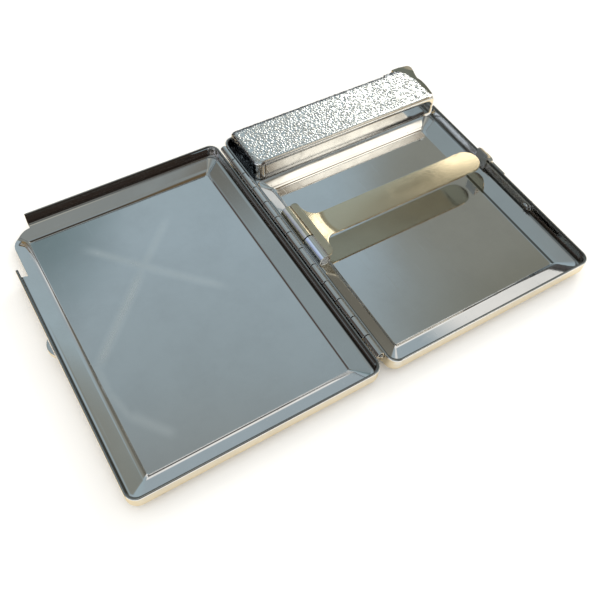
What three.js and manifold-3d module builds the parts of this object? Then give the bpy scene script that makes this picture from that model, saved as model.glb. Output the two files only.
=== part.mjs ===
// A pressed-metal cigarette case with a petrol lighter built in along one short side.
// The case lies open and flat: lid on the left, base on the right, the hinge between them.
// Millimetres, +X across the case from lid to base, +Y along the hinge, +Z up from the table.
import * as THREE from 'three';
import { mergeVertices } from 'three/addons/utils/BufferGeometryUtils.js';
import Module from 'manifold-3d';

const wasm = await Module();
wasm.setup();

// Driving dimensions of the whole case
const CASE_LENGTH = 104;
const HALF_WIDTH = 79.4;
const RIM_HEIGHT = 7.5;
const RIM_GAP = 0.3;
const SHEET = 0.6;
const FIT = 0.3;
const CORNER_RADIUS = 3.4;
const HINGE_WALL_X = 1.5;

// Tray profile: heights of the outer skin, and how far each skin is set in
const WALL_FOOT_Z = 4.4;
const SHOULDER_Z = 3.5;
const SHOULDER_INSET = 0.25;
const BEVEL_TOP_Z = 2.85;
const BEVEL_TOP_INSET = 0.9;
const STEP_HEIGHT = 0.7;
const STEP_WIDTH = 0.4;
const PANEL_CORNER_RADIUS = 0.6;
const CORNER_STEPS = 6;

// How far the flat panel lies inside each wall
const LID_PANEL = { left: 7.1, right: 6.0, near: 7.1, far: 5.8 };
const BASE_PANEL = { left: 7.2, right: 6.4, near: 7.5, far: 23.2 };
const DECK_DEPTH = 19.4;

// Corner of both walls cut away round the thumb lever, measured in from the corner
const NOTCH_DEPTH = 20.6;
const NOTCH_WIDTH = 9.8;
const NOTCH_FLOOR = 2.8;
const NOTCH_RADIUS = 7;

// Hinge
const KNUCKLE_RADIUS = 1.2;
const PIN_RADIUS = 0.45;
const HINGE_MARGIN = 4;
const KNUCKLES = 13;
const LEAF_THICKNESS = 0.4;
const LEAF_TOP_DROP = 1.5;
const LEAF_FOOT_DROP = 4.05;
const PIN_OVERHANG = 0.5;

// Spring-loaded arm that holds the cigarettes down
const ARM_PLACE = 0.51;
const ARM_WIDTH = 9.8;
const ARM_THICKNESS = 0.6;
const ARM_UNDERSIDE = 1.5;
const ARM_TIP_GAP = 4.6;
const BARREL_SET = 2.6;
const BARREL_DROP = 0.3;
const BARREL_RADIUS = 1.85;
const BARREL_WALL = 0.5;
const ROOT_WIDTH = 23.6;
const ROOT_REACH = 5.3;
const ROOT_CORNER_RADIUS = 1.5;
const ROOT_FILLET = 3.8;
const JOGGLE_START = 1.7;
const JOGGLE_END = 4.5;
const BARREL_SPLIT = 0.42;
const ARM_SPRING_WIRE = 0.3;
const ARM_SPRING_TURNS = 8;
const ARM_SPRING_PITCH = 1.2;

// Bracket that carries the arm
const BRACKET_LEAD = 5.2;
const BRACKET_TAIL = 16.2;
const BRACKET_FOOT = 3.4;
const BRACKET_TOP = 0.9;
const BRACKET_RELIEF = 1.6;
const BRACKET_TAIL_TOP = 2.6;
const BRACKET_THICKNESS = 0.5;
const BRACKET_BEND_START = 5.2;
const BRACKET_BEND_END = 12.2;
const BRACKET_CHAMFER = 1.5;

// Clasp on the long outer wall
const BUTTON_LENGTH = 6;
const BUTTON_HEIGHT = 3;
const BUTTON_REACH = 1.7;
const LEAF_SPRING_THICKNESS = 0.6;
const LEAF_SPRING_HEIGHT = 2.4;
const CLASP_ARM = 24;
const CLASP_HEEL = 2;
const HOOK_LENGTH = 5;
const HOOK_THICKNESS = 0.6;
const HOOK_SHELF = 1.5;
const HOOK_LIP = 0.25;
const HOOK_RAMP = 1.35;
const CATCH_LENGTH = 6.4;
const CATCH_REACH = 1.1;
const PLATE_LENGTH = 14;
const PLATE_THICKNESS = 0.4;

// Lighter sleeve, measured from the far wall and from the long outer wall
const SLEEVE_START = 2;
const SLEEVE_DEPTH = 19.1;
const SLEEVE_RISE = 3.9;
const SLEEVE_EDGE_RADIUS = 1.2;
const SLEEVE_CORNER_RADIUS = 3;
const SLEEVE_BACK_CORNER_RADIUS = 1.6;
const SLEEVE_TIP = 0.4;
const SLEEVE_SHOULDER = 0.4;
const SLEEVE_SHOULDER_DEPTH = 9.2;
const SLEEVE_BACK = 6.2;
const SLEEVE_MOUTH = 9.9;
const CURVE_STEPS = 8;

// Lighter works, all centred on one level
const WORKS_WALL = 0.5;
const TANK_START = 7.9;
const TANK_END = 21.4;
const FRAME_THICKNESS = 0.7;
const FRAME_EAR_HALF = 2.2;
const PIVOT_INSET = 6.9;
const PIVOT_DEPTH = 10.5;
const LEVER_PIN_RADIUS = 0.8;
const WHEEL_RADIUS = 3.6;
const WHEEL_THICKNESS = 1.6;
const WHEEL_TEETH = 26;
const TOOTH_DEPTH = 0.35;
const WICK_DEPTH = 16;
const WICK_RADIUS = 0.9;
const WICK_INSET = 2.5;
const WICK_SHOWS = 0.7;
const WICK_SUNK = 4;
const FLINT_TUBE_RADIUS = 1.7;
const FLINT_RADIUS = 0.9;
const FLINT_LENGTH = 5;
const FLINT_SPRING_WIRE = 0.3;
const FLINT_SPRING_TURNS = 9;
const FLINT_SPRING_PITCH = 1.3;
const SCREW_HEAD_THICKNESS = 1;
const FLINT_SCREW_HEAD_RADIUS = 1.9;
const FLINT_SCREW_SHANK_RADIUS = 0.8;
const FILLER_DEPTH = 5.6;
const FILLER_HEAD_RADIUS = 2.1;
const FILLER_SHANK_RADIUS = 1.3;
const FILLER_SHANK_LENGTH = 4.5;
const SCREW_SLOT = 0.5;

// Thumb lever and snuffer
const LEVER_CHEEK = 0.8;
const LEVER_BOSS_RADIUS = 2.4;
const LEVER_WEB = 2.2;
const LEVER_PROUD = 0.9;
const THUMB_REACH = 3.2;
const THUMB_PROUD = 0.6;
const THUMB_WIDTH = 8.2;
const THUMB_ROUND = 1.2;
const THUMB_DEPTH = 4;
const THUMB_FACET = 5.2;
const THUMB_FACET_SLOPE = 0.3;
const RETURN_SPRING_THICKNESS = 0.35;
const LEAF_REACH = 4.9;

// Rivets that hold the sleeve down
const RIVET_RADIUS = 0.8;
const RIVET_HEAD_RADIUS = 1.5;
const RIVET_HEAD = 0.4;
const RIVET_INSET = 3.9;
const RIVET_SIDE = 4.6;

// Values worked out from the sizes above
const HINGE_Z = RIM_HEIGHT + RIM_GAP / 2;
const WALL_OUT_X = HALF_WIDTH;
const WALL_IN_X = HALF_WIDTH - SHEET;
const HINGE_WALL_IN_X = HINGE_WALL_X + SHEET;
const HINGE_START_Y = HINGE_MARGIN;
const HINGE_END_Y = CASE_LENGTH - HINGE_MARGIN;
const ARM_Y = CASE_LENGTH * ARM_PLACE;
const ARM_UNDERSIDE_Z = RIM_HEIGHT + ARM_UNDERSIDE;
const ARM_TIP_X = HALF_WIDTH - ARM_TIP_GAP;
const BARREL_X = HINGE_WALL_IN_X + BARREL_SET;
const BARREL_Z = RIM_HEIGHT - BARREL_DROP;
const BARREL_NEAR_Y = ARM_Y - ROOT_WIDTH / 2;
const BARREL_FAR_Y = ARM_Y + ROOT_WIDTH / 2;
const BARREL_SPLIT_Y = BARREL_NEAR_Y + ROOT_WIDTH * BARREL_SPLIT;
const ROOT_EDGE_X = BARREL_X + ROOT_REACH;
const CLASP_Y = ARM_Y;
const BUTTON_TOP_Z = RIM_HEIGHT - FIT / 3;
const BUTTON_FOOT_Z = BUTTON_TOP_Z - BUTTON_HEIGHT;
const LEAF_SPRING_FOOT_Z = BUTTON_FOOT_Z;
const LEAF_SPRING_TOP_Z = LEAF_SPRING_FOOT_Z + LEAF_SPRING_HEIGHT;
const CLASP_PIVOT_Y = CLASP_Y - CLASP_ARM;
const DECK_EDGE_Y = CASE_LENGTH - DECK_DEPTH;
const NOTCH_Y = CASE_LENGTH - NOTCH_DEPTH;
const NOTCH_X = HALF_WIDTH - NOTCH_WIDTH;
const NOTCH_FLOOR_X = HALF_WIDTH - NOTCH_FLOOR;
const SLEEVE_FOOT_Z = SHOULDER_Z + FIT;
const SLEEVE_TOP_Z = RIM_HEIGHT + SLEEVE_RISE;
const SLEEVE_LEFT_X = HINGE_WALL_IN_X + SLEEVE_START;
const SLEEVE_NEAR_Y = CASE_LENGTH - SLEEVE_DEPTH;
const SLEEVE_BACK_Y = CASE_LENGTH - SHEET - FIT;
const SLEEVE_TIP_X = HALF_WIDTH - SLEEVE_TIP;
const SLEEVE_MOUTH_X = HALF_WIDTH - SLEEVE_MOUTH;
const WORKS_FLOOR_Z = SLEEVE_FOOT_Z + SHEET + FIT;
const WORKS_ROOF_Z = SLEEVE_TOP_Z - SHEET - FIT;
const WORKS_Z = (WORKS_FLOOR_Z + WORKS_ROOF_Z) / 2;
const WORKS_NEAR_Y = SLEEVE_NEAR_Y + SHEET + FIT;
const WORKS_BACK_Y = SLEEVE_BACK_Y - SHEET - FIT;
const TANK_LEFT_X = SLEEVE_LEFT_X + TANK_START;
const TANK_RIGHT_X = HALF_WIDTH - TANK_END;
const PIVOT_X = HALF_WIDTH - PIVOT_INSET;
const PIVOT_Y = CASE_LENGTH - PIVOT_DEPTH;
const WICK_Y = CASE_LENGTH - WICK_DEPTH;
const WICK_TIP_X = HALF_WIDTH - WICK_INSET;
const WICK_TUBE_END_X = WICK_TIP_X - WICK_SHOWS;
const WICK_START_X = TANK_RIGHT_X - WICK_SUNK;
const FILLER_Y = CASE_LENGTH - FILLER_DEPTH;
const LEVER_WEB_X = HALF_WIDTH - LEVER_WEB;
const LEVER_SKIN_X = HALF_WIDTH + LEVER_PROUD;
const THUMB_TIP = { x: HALF_WIDTH + THUMB_REACH, y: CASE_LENGTH };
const THUMB_BACK_Y = CASE_LENGTH + THUMB_PROUD;
const THUMB_LEFT_X = HALF_WIDTH + THUMB_REACH - THUMB_WIDTH;
const SLEEVE_RIVETS = [
  [SLEEVE_LEFT_X + RIVET_INSET, SLEEVE_NEAR_Y + RIVET_SIDE],
  [SLEEVE_LEFT_X + RIVET_INSET, SLEEVE_BACK_Y - RIVET_SIDE],
];
const CENTRE_X = (HINGE_WALL_X + HALF_WIDTH) / 2;
const CENTRE_Y = CASE_LENGTH / 2;
const REACH = 20;

// Materials
function metal(color, roughness, metalness = 1) {
  return new THREE.MeshStandardMaterial({ color, roughness, metalness });
}

const chrome = metal(0xc9cdd0, 0.08);
const satin = metal(0xc9bfa4, 0.35);
const spring = metal(0x9a9da0, 0.3);
const embossed = metal(0xd5d8da, 0.3);
const brass = metal(0xb8964e, 0.35);
const cotton = metal(0xe9e4d6, 0.95, 0);
const flintGrey = metal(0x4a4a48, 0.7, 0.4);
const toolSteel = metal(0x6f7072, 0.45);

// Solids
function toSolid(geometry) {
  const plain = geometry.index ? geometry.toNonIndexed() : geometry.clone();
  plain.deleteAttribute('normal');
  plain.deleteAttribute('uv');
  const merged = mergeVertices(plain, 1e-5);
  const vertProperties = new Float32Array(merged.attributes.position.array);
  const found = merged.index.array;
  const kept = [];
  for (let i = 0; i < found.length; i += 3) {
    const [a, b, c] = [found[i], found[i + 1], found[i + 2]];
    if (a !== b && b !== c && c !== a) kept.push(a, b, c);
  }
  const triVerts = new Uint32Array(kept);
  const solid = new wasm.Manifold(new wasm.Mesh({ numProp: 3, vertProperties, triVerts }));
  if (solid.volume() > 0) return solid;
  const turned = triVerts.slice();
  for (let i = 0; i < turned.length; i += 3) {
    turned[i + 1] = triVerts[i + 2];
    turned[i + 2] = triVerts[i + 1];
  }
  return new wasm.Manifold(new wasm.Mesh({ numProp: 3, vertProperties, triVerts: turned }));
}

function toGeometry(solid) {
  const found = solid.getMesh();
  const geometry = new THREE.BufferGeometry();
  const points = new Float32Array(found.numVert * 3);
  for (let i = 0; i < found.numVert; i += 1) {
    for (let k = 0; k < 3; k += 1) {
      points[i * 3 + k] = found.vertProperties[i * found.numProp + k];
    }
  }
  geometry.setAttribute('position', new THREE.BufferAttribute(points, 3));
  geometry.setIndex([...found.triVerts]);
  return geometry;
}

function join(...solids) {
  return solids.reduce((whole, solid) => whole.add(solid));
}

function cut(solid, ...tools) {
  return tools.reduce((rest, tool) => rest.subtract(tool), solid);
}

// An outline in XY pushed up from z0 to z1
function upright(shape, z0, z1, curveSegments = CURVE_STEPS) {
  const geometry = new THREE.ExtrudeGeometry(shape, { depth: z1 - z0, bevelEnabled: false, curveSegments });
  geometry.translate(0, 0, z0);
  return toSolid(geometry);
}

// An outline in XZ pushed along the hinge from y0 to y1
function alongY(shape, y0, y1, curveSegments = CURVE_STEPS) {
  const geometry = new THREE.ExtrudeGeometry(shape, { depth: y1 - y0, bevelEnabled: false, curveSegments });
  const turn = new THREE.Matrix4().makeBasis(
    new THREE.Vector3(1, 0, 0), new THREE.Vector3(0, 0, 1), new THREE.Vector3(0, -1, 0));
  geometry.applyMatrix4(turn);
  geometry.translate(0, y1, 0);
  return toSolid(geometry);
}

// An outline in YZ pushed across the case from x0 to x1
function alongX(shape, x0, x1, curveSegments = CURVE_STEPS) {
  const geometry = new THREE.ExtrudeGeometry(shape, { depth: x1 - x0, bevelEnabled: false, curveSegments });
  const turn = new THREE.Matrix4().makeBasis(
    new THREE.Vector3(0, 1, 0), new THREE.Vector3(0, 0, 1), new THREE.Vector3(1, 0, 0));
  geometry.applyMatrix4(turn);
  geometry.translate(x0, 0, 0);
  return toSolid(geometry);
}

function polygon(points) {
  return new THREE.Shape(points.map(([u, v]) => new THREE.Vector2(u, v)));
}

function disc(u, v, radius) {
  return new THREE.Shape().absarc(u, v, radius, 0, Math.PI * 2);
}

function ring(u, v, outer, inner) {
  const shape = disc(u, v, outer);
  shape.holes.push(new THREE.Path().absarc(u, v, inner, 0, Math.PI * 2));
  return shape;
}

function box(x0, x1, y0, y1, z0, z1) {
  const geometry = new THREE.BoxGeometry(x1 - x0, y1 - y0, z1 - z0);
  geometry.translate((x0 + x1) / 2, (y0 + y1) / 2, (z0 + z1) / 2);
  return toSolid(geometry);
}

// A closed skin through rings that all have the same number of points
function loft(rings) {
  const count = rings[0].length;
  const points = rings.flat();
  const faces = [];
  for (let r = 0; r + 1 < rings.length; r += 1) {
    for (let i = 0; i < count; i += 1) {
      const a = r * count + i;
      const b = r * count + ((i + 1) % count);
      faces.push(a, b, b + count, a, b + count, a + count);
    }
  }
  const flat = (row) => row.map((p) => new THREE.Vector2(p.x, p.y));
  const first = THREE.ShapeUtils.triangulateShape(flat(rings[0]), []);
  const last = THREE.ShapeUtils.triangulateShape(flat(rings[rings.length - 1]), []);
  const end = (rings.length - 1) * count;
  first.forEach(([a, b, c]) => faces.push(a, c, b));
  last.forEach(([a, b, c]) => faces.push(end + a, end + b, end + c));
  const geometry = new THREE.BufferGeometry().setFromPoints(points);
  geometry.setIndex(faces);
  return toSolid(geometry);
}

// Trays
function roundedRing(rect, radius, z) {
  const corners = [
    [rect.x1 - radius, rect.y1 - radius, 0],
    [rect.x0 + radius, rect.y1 - radius, 1],
    [rect.x0 + radius, rect.y0 + radius, 2],
    [rect.x1 - radius, rect.y0 + radius, 3],
  ];
  return corners.flatMap(([cx, cy, quarter]) => {
    const row = [];
    for (let i = 0; i <= CORNER_STEPS; i += 1) {
      const angle = (quarter + i / CORNER_STEPS) * Math.PI / 2;
      row.push(new THREE.Vector3(cx + radius * Math.cos(angle), cy + radius * Math.sin(angle), z));
    }
    return row;
  });
}

function trayRings(rect, panel, deckInset) {
  const atWall = (inset, z) => roundedRing(
    { x0: rect.x0 + inset, x1: rect.x1 - inset, y0: rect.y0 + inset, y1: rect.y1 - inset },
    CORNER_RADIUS - inset * 0.5, z);
  const atBevelTop = (inset, z) => roundedRing(
    { x0: rect.x0 + inset, x1: rect.x1 - inset, y0: rect.y0 + inset, y1: rect.y1 - Math.max(inset, deckInset) },
    CORNER_RADIUS - inset * 0.5, z);
  const atPanel = (shift, z) => roundedRing(
    {
      x0: rect.x0 + panel.left + shift,
      x1: rect.x1 - panel.right - shift,
      y0: rect.y0 + panel.near + shift,
      y1: rect.y1 - panel.far - shift,
    },
    PANEL_CORNER_RADIUS, z);
  return [
    atPanel(-STEP_WIDTH / 4, 0),
    atPanel(-STEP_WIDTH * 1.25, STEP_HEIGHT),
    atBevelTop(BEVEL_TOP_INSET, BEVEL_TOP_Z),
    atWall(SHOULDER_INSET, SHOULDER_Z),
    atWall(0, WALL_FOOT_Z),
    atWall(0, RIM_HEIGHT),
    atWall(SHEET, RIM_HEIGHT),
    atWall(SHEET, WALL_FOOT_Z - SHEET / 6),
    atWall(SHEET + SHOULDER_INSET * 1.4, SHOULDER_Z),
    atBevelTop(BEVEL_TOP_INSET * 2, BEVEL_TOP_Z + SHEET * 0.85),
    atPanel(-STEP_WIDTH / 2, STEP_HEIGHT + SHEET),
    atPanel(STEP_WIDTH * 0.75, SHEET),
  ];
}

// The part of the corner that is cut away, as seen from above on the base
function cornerNotch(side) {
  const shape = new THREE.Shape();
  const edge = HALF_WIDTH + REACH;
  shape.moveTo(side * edge, NOTCH_Y);
  shape.lineTo(side * NOTCH_FLOOR_X, NOTCH_Y);
  shape.lineTo(side * NOTCH_FLOOR_X, CASE_LENGTH - SHEET * 4 - NOTCH_RADIUS);
  for (let i = 1; i <= CORNER_STEPS; i += 1) {
    const angle = (i / CORNER_STEPS) * Math.PI / 2;
    shape.lineTo(
      side * (NOTCH_X + (NOTCH_FLOOR_X - NOTCH_X) * Math.cos(angle)),
      CASE_LENGTH - SHEET * 4 - NOTCH_RADIUS + NOTCH_RADIUS * Math.sin(angle));
  }
  shape.lineTo(side * NOTCH_X, CASE_LENGTH + REACH);
  shape.lineTo(side * edge, CASE_LENGTH + REACH);
  shape.closePath();
  return upright(shape, -REACH, REACH);
}

function lidShell() {
  const rect = { x0: -HALF_WIDTH, x1: -HINGE_WALL_X, y0: 0, y1: CASE_LENGTH };
  const half = CATCH_LENGTH / 2 - FIT;
  const slotTop = 2 * HINGE_Z - hookShelfZ() + FIT;
  const slot = box(-WALL_OUT_X - FIT, -WALL_IN_X + FIT, CLASP_Y - half, CLASP_Y + half,
    slotTop - HOOK_LIP - FIT * 3, slotTop);
  return cut(loft(trayRings(rect, LID_PANEL, 0)), cornerNotch(-1), slot);
}

function baseShell() {
  const rect = { x0: HINGE_WALL_X, x1: HALF_WIDTH, y0: 0, y1: CASE_LENGTH };
  const half = BUTTON_LENGTH / 2 + FIT;
  const gate = box(WALL_IN_X - FIT, WALL_OUT_X + FIT, CLASP_Y - half, CLASP_Y + half,
    BUTTON_FOOT_Z - FIT, RIM_HEIGHT + REACH);
  const rivetHole = alongX(disc(CLASP_PIVOT_Y, leafSpringMidZ(), RIVET_RADIUS + FIT),
    WALL_IN_X - FIT, WALL_OUT_X + FIT);
  const holes = SLEEVE_RIVETS.map(([x, y]) => upright(disc(x, y, RIVET_RADIUS + FIT), 0, SLEEVE_FOOT_Z));
  return cut(loft(trayRings(rect, BASE_PANEL, DECK_DEPTH)), cornerNotch(1), gate, rivetHole, ...holes);
}

// Hinge
function knuckleSpan(index) {
  const pitch = (HINGE_END_Y - HINGE_START_Y) / KNUCKLES;
  const start = HINGE_START_Y + index * pitch;
  return [start + FIT / 2, start + pitch - FIT / 2];
}

function hingeLeaf(side, parity) {
  const inner = side * (KNUCKLE_RADIUS - LEAF_THICKNESS);
  const outer = side * KNUCKLE_RADIUS;
  const low = HINGE_Z - LEAF_FOOT_DROP;
  const strap = (top) => polygon([[inner, low], [outer, low], [outer, top], [inner, top]]);
  const bore = ring(0, HINGE_Z, KNUCKLE_RADIUS, PIN_RADIUS + FIT);
  const [first] = knuckleSpan(parity);
  const [, last] = knuckleSpan(KNUCKLES - 1 - parity);
  let leaf = alongY(strap(HINGE_Z - LEAF_TOP_DROP), first, last);
  for (let i = parity; i < KNUCKLES; i += 2) {
    const [y0, y1] = knuckleSpan(i);
    const neck = cut(alongY(strap(HINGE_Z), y0, y1), alongY(disc(0, HINGE_Z, PIN_RADIUS + FIT), y0 - FIT, y1 + FIT));
    leaf = join(leaf, neck, alongY(bore, y0, y1));
  }
  return leaf;
}

function hingePin() {
  return alongY(disc(0, HINGE_Z, PIN_RADIUS), HINGE_START_Y - PIN_OVERHANG, HINGE_END_Y + PIN_OVERHANG);
}

// Cigarette arm
function armOutline() {
  const near = ARM_Y - ARM_WIDTH / 2;
  const far = ARM_Y + ARM_WIDTH / 2;
  const half = ROOT_WIDTH / 2;
  const shape = new THREE.Shape();
  shape.moveTo(BARREL_X, BARREL_FAR_Y);
  shape.lineTo(BARREL_X, BARREL_SPLIT_Y);
  shape.lineTo(BARREL_X + BARREL_RADIUS + FIT, BARREL_SPLIT_Y);
  shape.lineTo(BARREL_X + BARREL_RADIUS + FIT, BARREL_NEAR_Y);
  shape.lineTo(ROOT_EDGE_X - ROOT_CORNER_RADIUS, BARREL_NEAR_Y);
  shape.absarc(ROOT_EDGE_X - ROOT_CORNER_RADIUS, ARM_Y - half + ROOT_CORNER_RADIUS, ROOT_CORNER_RADIUS,
    -Math.PI / 2, 0);
  shape.lineTo(ROOT_EDGE_X, near - ROOT_FILLET);
  shape.absarc(ROOT_EDGE_X + ROOT_FILLET, near - ROOT_FILLET, ROOT_FILLET, Math.PI, Math.PI / 2, true);
  shape.lineTo(ARM_TIP_X - ARM_WIDTH / 2, near);
  shape.absarc(ARM_TIP_X - ARM_WIDTH / 2, ARM_Y, ARM_WIDTH / 2, -Math.PI / 2, Math.PI / 2);
  shape.lineTo(ROOT_EDGE_X + ROOT_FILLET, far);
  shape.absarc(ROOT_EDGE_X + ROOT_FILLET, far + ROOT_FILLET, ROOT_FILLET, -Math.PI / 2, Math.PI, true);
  shape.lineTo(ROOT_EDGE_X, ARM_Y + half - ROOT_CORNER_RADIUS);
  shape.absarc(ROOT_EDGE_X - ROOT_CORNER_RADIUS, ARM_Y + half - ROOT_CORNER_RADIUS, ROOT_CORNER_RADIUS,
    0, Math.PI / 2);
  shape.closePath();
  return shape;
}

function armSheetProfile() {
  const rootTop = BARREL_Z + BARREL_RADIUS;
  const rootFoot = rootTop - ARM_THICKNESS;
  const armTop = ARM_UNDERSIDE_Z + ARM_THICKNESS;
  return polygon([
    [BARREL_X, rootFoot],
    [BARREL_X + JOGGLE_START, rootFoot],
    [BARREL_X + JOGGLE_END, ARM_UNDERSIDE_Z],
    [ARM_TIP_X + REACH, ARM_UNDERSIDE_Z],
    [ARM_TIP_X + REACH, armTop],
    [BARREL_X + JOGGLE_END, armTop],
    [BARREL_X + JOGGLE_START, rootTop],
    [BARREL_X, rootTop],
  ]);
}

function retainerArm() {
  const sheet = alongY(armSheetProfile(), BARREL_NEAR_Y - FIT, BARREL_FAR_Y + FIT);
  const strip = sheet.intersect(upright(armOutline(), BARREL_Z, ARM_UNDERSIDE_Z + REACH));
  const bore = BARREL_RADIUS - BARREL_WALL;
  const barrel = alongY(ring(BARREL_X, BARREL_Z, BARREL_RADIUS, bore), BARREL_SPLIT_Y, BARREL_FAR_Y, 5);
  return cut(join(strip, barrel), alongY(disc(BARREL_X, BARREL_Z, bore), BARREL_SPLIT_Y - FIT, BARREL_FAR_Y + FIT, 5));
}

function retainerPin() {
  return alongY(disc(BARREL_X, BARREL_Z, PIN_RADIUS), BARREL_NEAR_Y, BARREL_FAR_Y);
}

function retainerBracket() {
  const x0 = HINGE_WALL_IN_X + FIT;
  const x1 = x0 + BRACKET_THICKNESS;
  const near = BARREL_NEAR_Y - BRACKET_LEAD;
  const far = BARREL_FAR_Y + BRACKET_TAIL;
  const foot = RIM_HEIGHT - BRACKET_FOOT;
  const top = RIM_HEIGHT - BRACKET_TOP;
  const low = RIM_HEIGHT - BRACKET_RELIEF;
  const tail = RIM_HEIGHT - BRACKET_TAIL_TOP;
  const bendStart = BARREL_FAR_Y + BRACKET_BEND_START;
  const bendEnd = BARREL_FAR_Y + BRACKET_BEND_END;
  const middle = (bendStart + bendEnd) / 2;
  const shape = new THREE.Shape();
  shape.moveTo(near, foot);
  shape.lineTo(far, foot);
  shape.lineTo(far, tail);
  shape.lineTo(bendEnd, tail);
  shape.bezierCurveTo(middle, tail, middle, top, bendStart, top);
  shape.lineTo(BARREL_FAR_Y + FIT, top);
  shape.lineTo(BARREL_FAR_Y + FIT, low);
  shape.lineTo(BARREL_SPLIT_Y - FIT, low);
  shape.lineTo(BARREL_SPLIT_Y - FIT, top);
  shape.lineTo(near + BRACKET_CHAMFER, top);
  shape.lineTo(near, top - BRACKET_CHAMFER);
  shape.closePath();
  const plate = alongX(shape, x0, x1);
  const bore = PIN_RADIUS + FIT;
  const knuckle = alongY(ring(BARREL_X, BARREL_Z, BARREL_RADIUS, bore), BARREL_NEAR_Y, BARREL_SPLIT_Y - FIT, 5);
  const strap = polygon([[x0, foot], [x1, foot], [x1 + SHEET, BARREL_Z], [x0, BARREL_Z]]);
  return join(plate, knuckle, alongY(strap, BARREL_NEAR_Y, BARREL_SPLIT_Y - FIT));
}

// A coil spring as one unbroken five-sided tube about an axis through origin
function coil(radius, wire, turns, pitch) {
  const stepsPerTurn = 8;
  const sides = 5;
  const steps = turns * stepsPerTurn;
  const path = [];
  for (let i = 0; i <= steps; i += 1) {
    const angle = (i / stepsPerTurn) * Math.PI * 2;
    path.push(new THREE.Vector3(radius * Math.cos(angle), radius * Math.sin(angle), wire + (i / stepsPerTurn) * pitch));
  }
  const start = path[0].clone().setZ(0);
  const end = path[steps].clone();
  end.z += wire;
  path.unshift(start);
  path.push(end);
  let least = Infinity;
  for (let i = 0; i < path.length; i += 1) {
    for (let k = i + stepsPerTurn / 2; k < path.length; k += 1) {
      least = Math.min(least, path[i].distanceTo(path[k]) - wire);
    }
  }
  console.log('least gap between the turns of a spring, mm:', least.toFixed(2));
  const rows = path.map((point, i) => {
    const before = path[Math.max(i - 1, 0)];
    const after = path[Math.min(i + 1, path.length - 1)];
    const along = after.clone().sub(before).normalize();
    const outward = new THREE.Vector3(point.x, point.y, 0).normalize();
    const side = along.clone().cross(outward).normalize();
    const out = side.clone().cross(along).normalize();
    const row = [];
    for (let s = 0; s < sides; s += 1) {
      const angle = (s / sides) * Math.PI * 2;
      row.push(point.clone()
        .addScaledVector(out, Math.cos(angle) * wire / 2)
        .addScaledVector(side, Math.sin(angle) * wire / 2));
    }
    return row;
  });
  const faces = [];
  for (let r = 0; r + 1 < rows.length; r += 1) {
    for (let s = 0; s < sides; s += 1) {
      const a = r * sides + s;
      const b = r * sides + ((s + 1) % sides);
      faces.push(a, b, b + sides, a, b + sides, a + sides);
    }
  }
  const top = (rows.length - 1) * sides;
  for (let s = 1; s + 1 < sides; s += 1) {
    faces.push(0, s + 1, s, top, top + s, top + s + 1);
  }
  const geometry = new THREE.BufferGeometry().setFromPoints(rows.flat());
  geometry.setIndex(faces);
  return geometry;
}

function retainerSpring() {
  const bore = BARREL_RADIUS - BARREL_WALL;
  const radius = (bore + PIN_RADIUS) / 2;
  const geometry = coil(radius, ARM_SPRING_WIRE, ARM_SPRING_TURNS, ARM_SPRING_PITCH);
  geometry.rotateX(-Math.PI / 2);
  geometry.translate(BARREL_X, BARREL_SPLIT_Y + FIT, BARREL_Z);
  return toSolid(geometry);
}

// Clasp
function leafSpringMidZ() {
  return (LEAF_SPRING_FOOT_Z + LEAF_SPRING_TOP_Z) / 2;
}

function hookShelfZ() {
  return RIM_HEIGHT + HOOK_SHELF;
}

function claspSpring() {
  const x1 = WALL_IN_X - FIT;
  const start = CLASP_PIVOT_Y - CLASP_HEEL;
  const end = CLASP_Y + BUTTON_LENGTH / 2;
  const taper = (LEAF_SPRING_TOP_Z - LEAF_SPRING_FOOT_Z) / 4;
  const shape = polygon([
    [start, LEAF_SPRING_FOOT_Z + taper],
    [start + taper, LEAF_SPRING_FOOT_Z],
    [end, LEAF_SPRING_FOOT_Z],
    [end, LEAF_SPRING_TOP_Z],
    [start + taper, LEAF_SPRING_TOP_Z],
    [start, LEAF_SPRING_TOP_Z - taper],
  ]);
  shape.holes.push(new THREE.Path().absarc(CLASP_PIVOT_Y, leafSpringMidZ(), RIVET_RADIUS + FIT, 0, Math.PI * 2));
  return alongX(shape, x1 - LEAF_SPRING_THICKNESS, x1);
}

function claspButton() {
  const x0 = WALL_IN_X;
  const x1 = WALL_OUT_X + BUTTON_REACH;
  const half = BUTTON_LENGTH / 2;
  const shape = new THREE.Shape();
  shape.moveTo(x0, CLASP_Y - half);
  shape.lineTo(x1 - BUTTON_REACH / 2, CLASP_Y - half);
  shape.quadraticCurveTo(x1, CLASP_Y - half * 0.8, x1, CLASP_Y);
  shape.quadraticCurveTo(x1, CLASP_Y + half * 0.8, x1 - BUTTON_REACH / 2, CLASP_Y + half);
  shape.lineTo(x0, CLASP_Y + half);
  shape.closePath();
  return upright(shape, BUTTON_FOOT_Z, BUTTON_TOP_Z, 5);
}

function claspHook() {
  const x1 = WALL_IN_X - LEAF_SPRING_THICKNESS - FIT * 2;
  const x0 = x1 - HOOK_THICKNESS;
  const tip = WALL_OUT_X - SHEET / 3;
  const shelf = hookShelfZ();
  const shape = polygon([
    [x0, LEAF_SPRING_FOOT_Z],
    [x1, LEAF_SPRING_FOOT_Z],
    [x1, shelf],
    [tip, shelf],
    [tip, shelf + HOOK_LIP],
    [x1, shelf + HOOK_RAMP],
    [x0, shelf + HOOK_RAMP],
  ]);
  return alongY(shape, CLASP_Y - HOOK_LENGTH / 2, CLASP_Y + HOOK_LENGTH / 2);
}

function rivet(base, from, to, headOut, headIn) {
  return join(base(RIVET_RADIUS, from, to), base(RIVET_HEAD_RADIUS, headOut[0], headOut[1]),
    base(RIVET_HEAD_RADIUS, headIn[0], headIn[1]));
}

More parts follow.
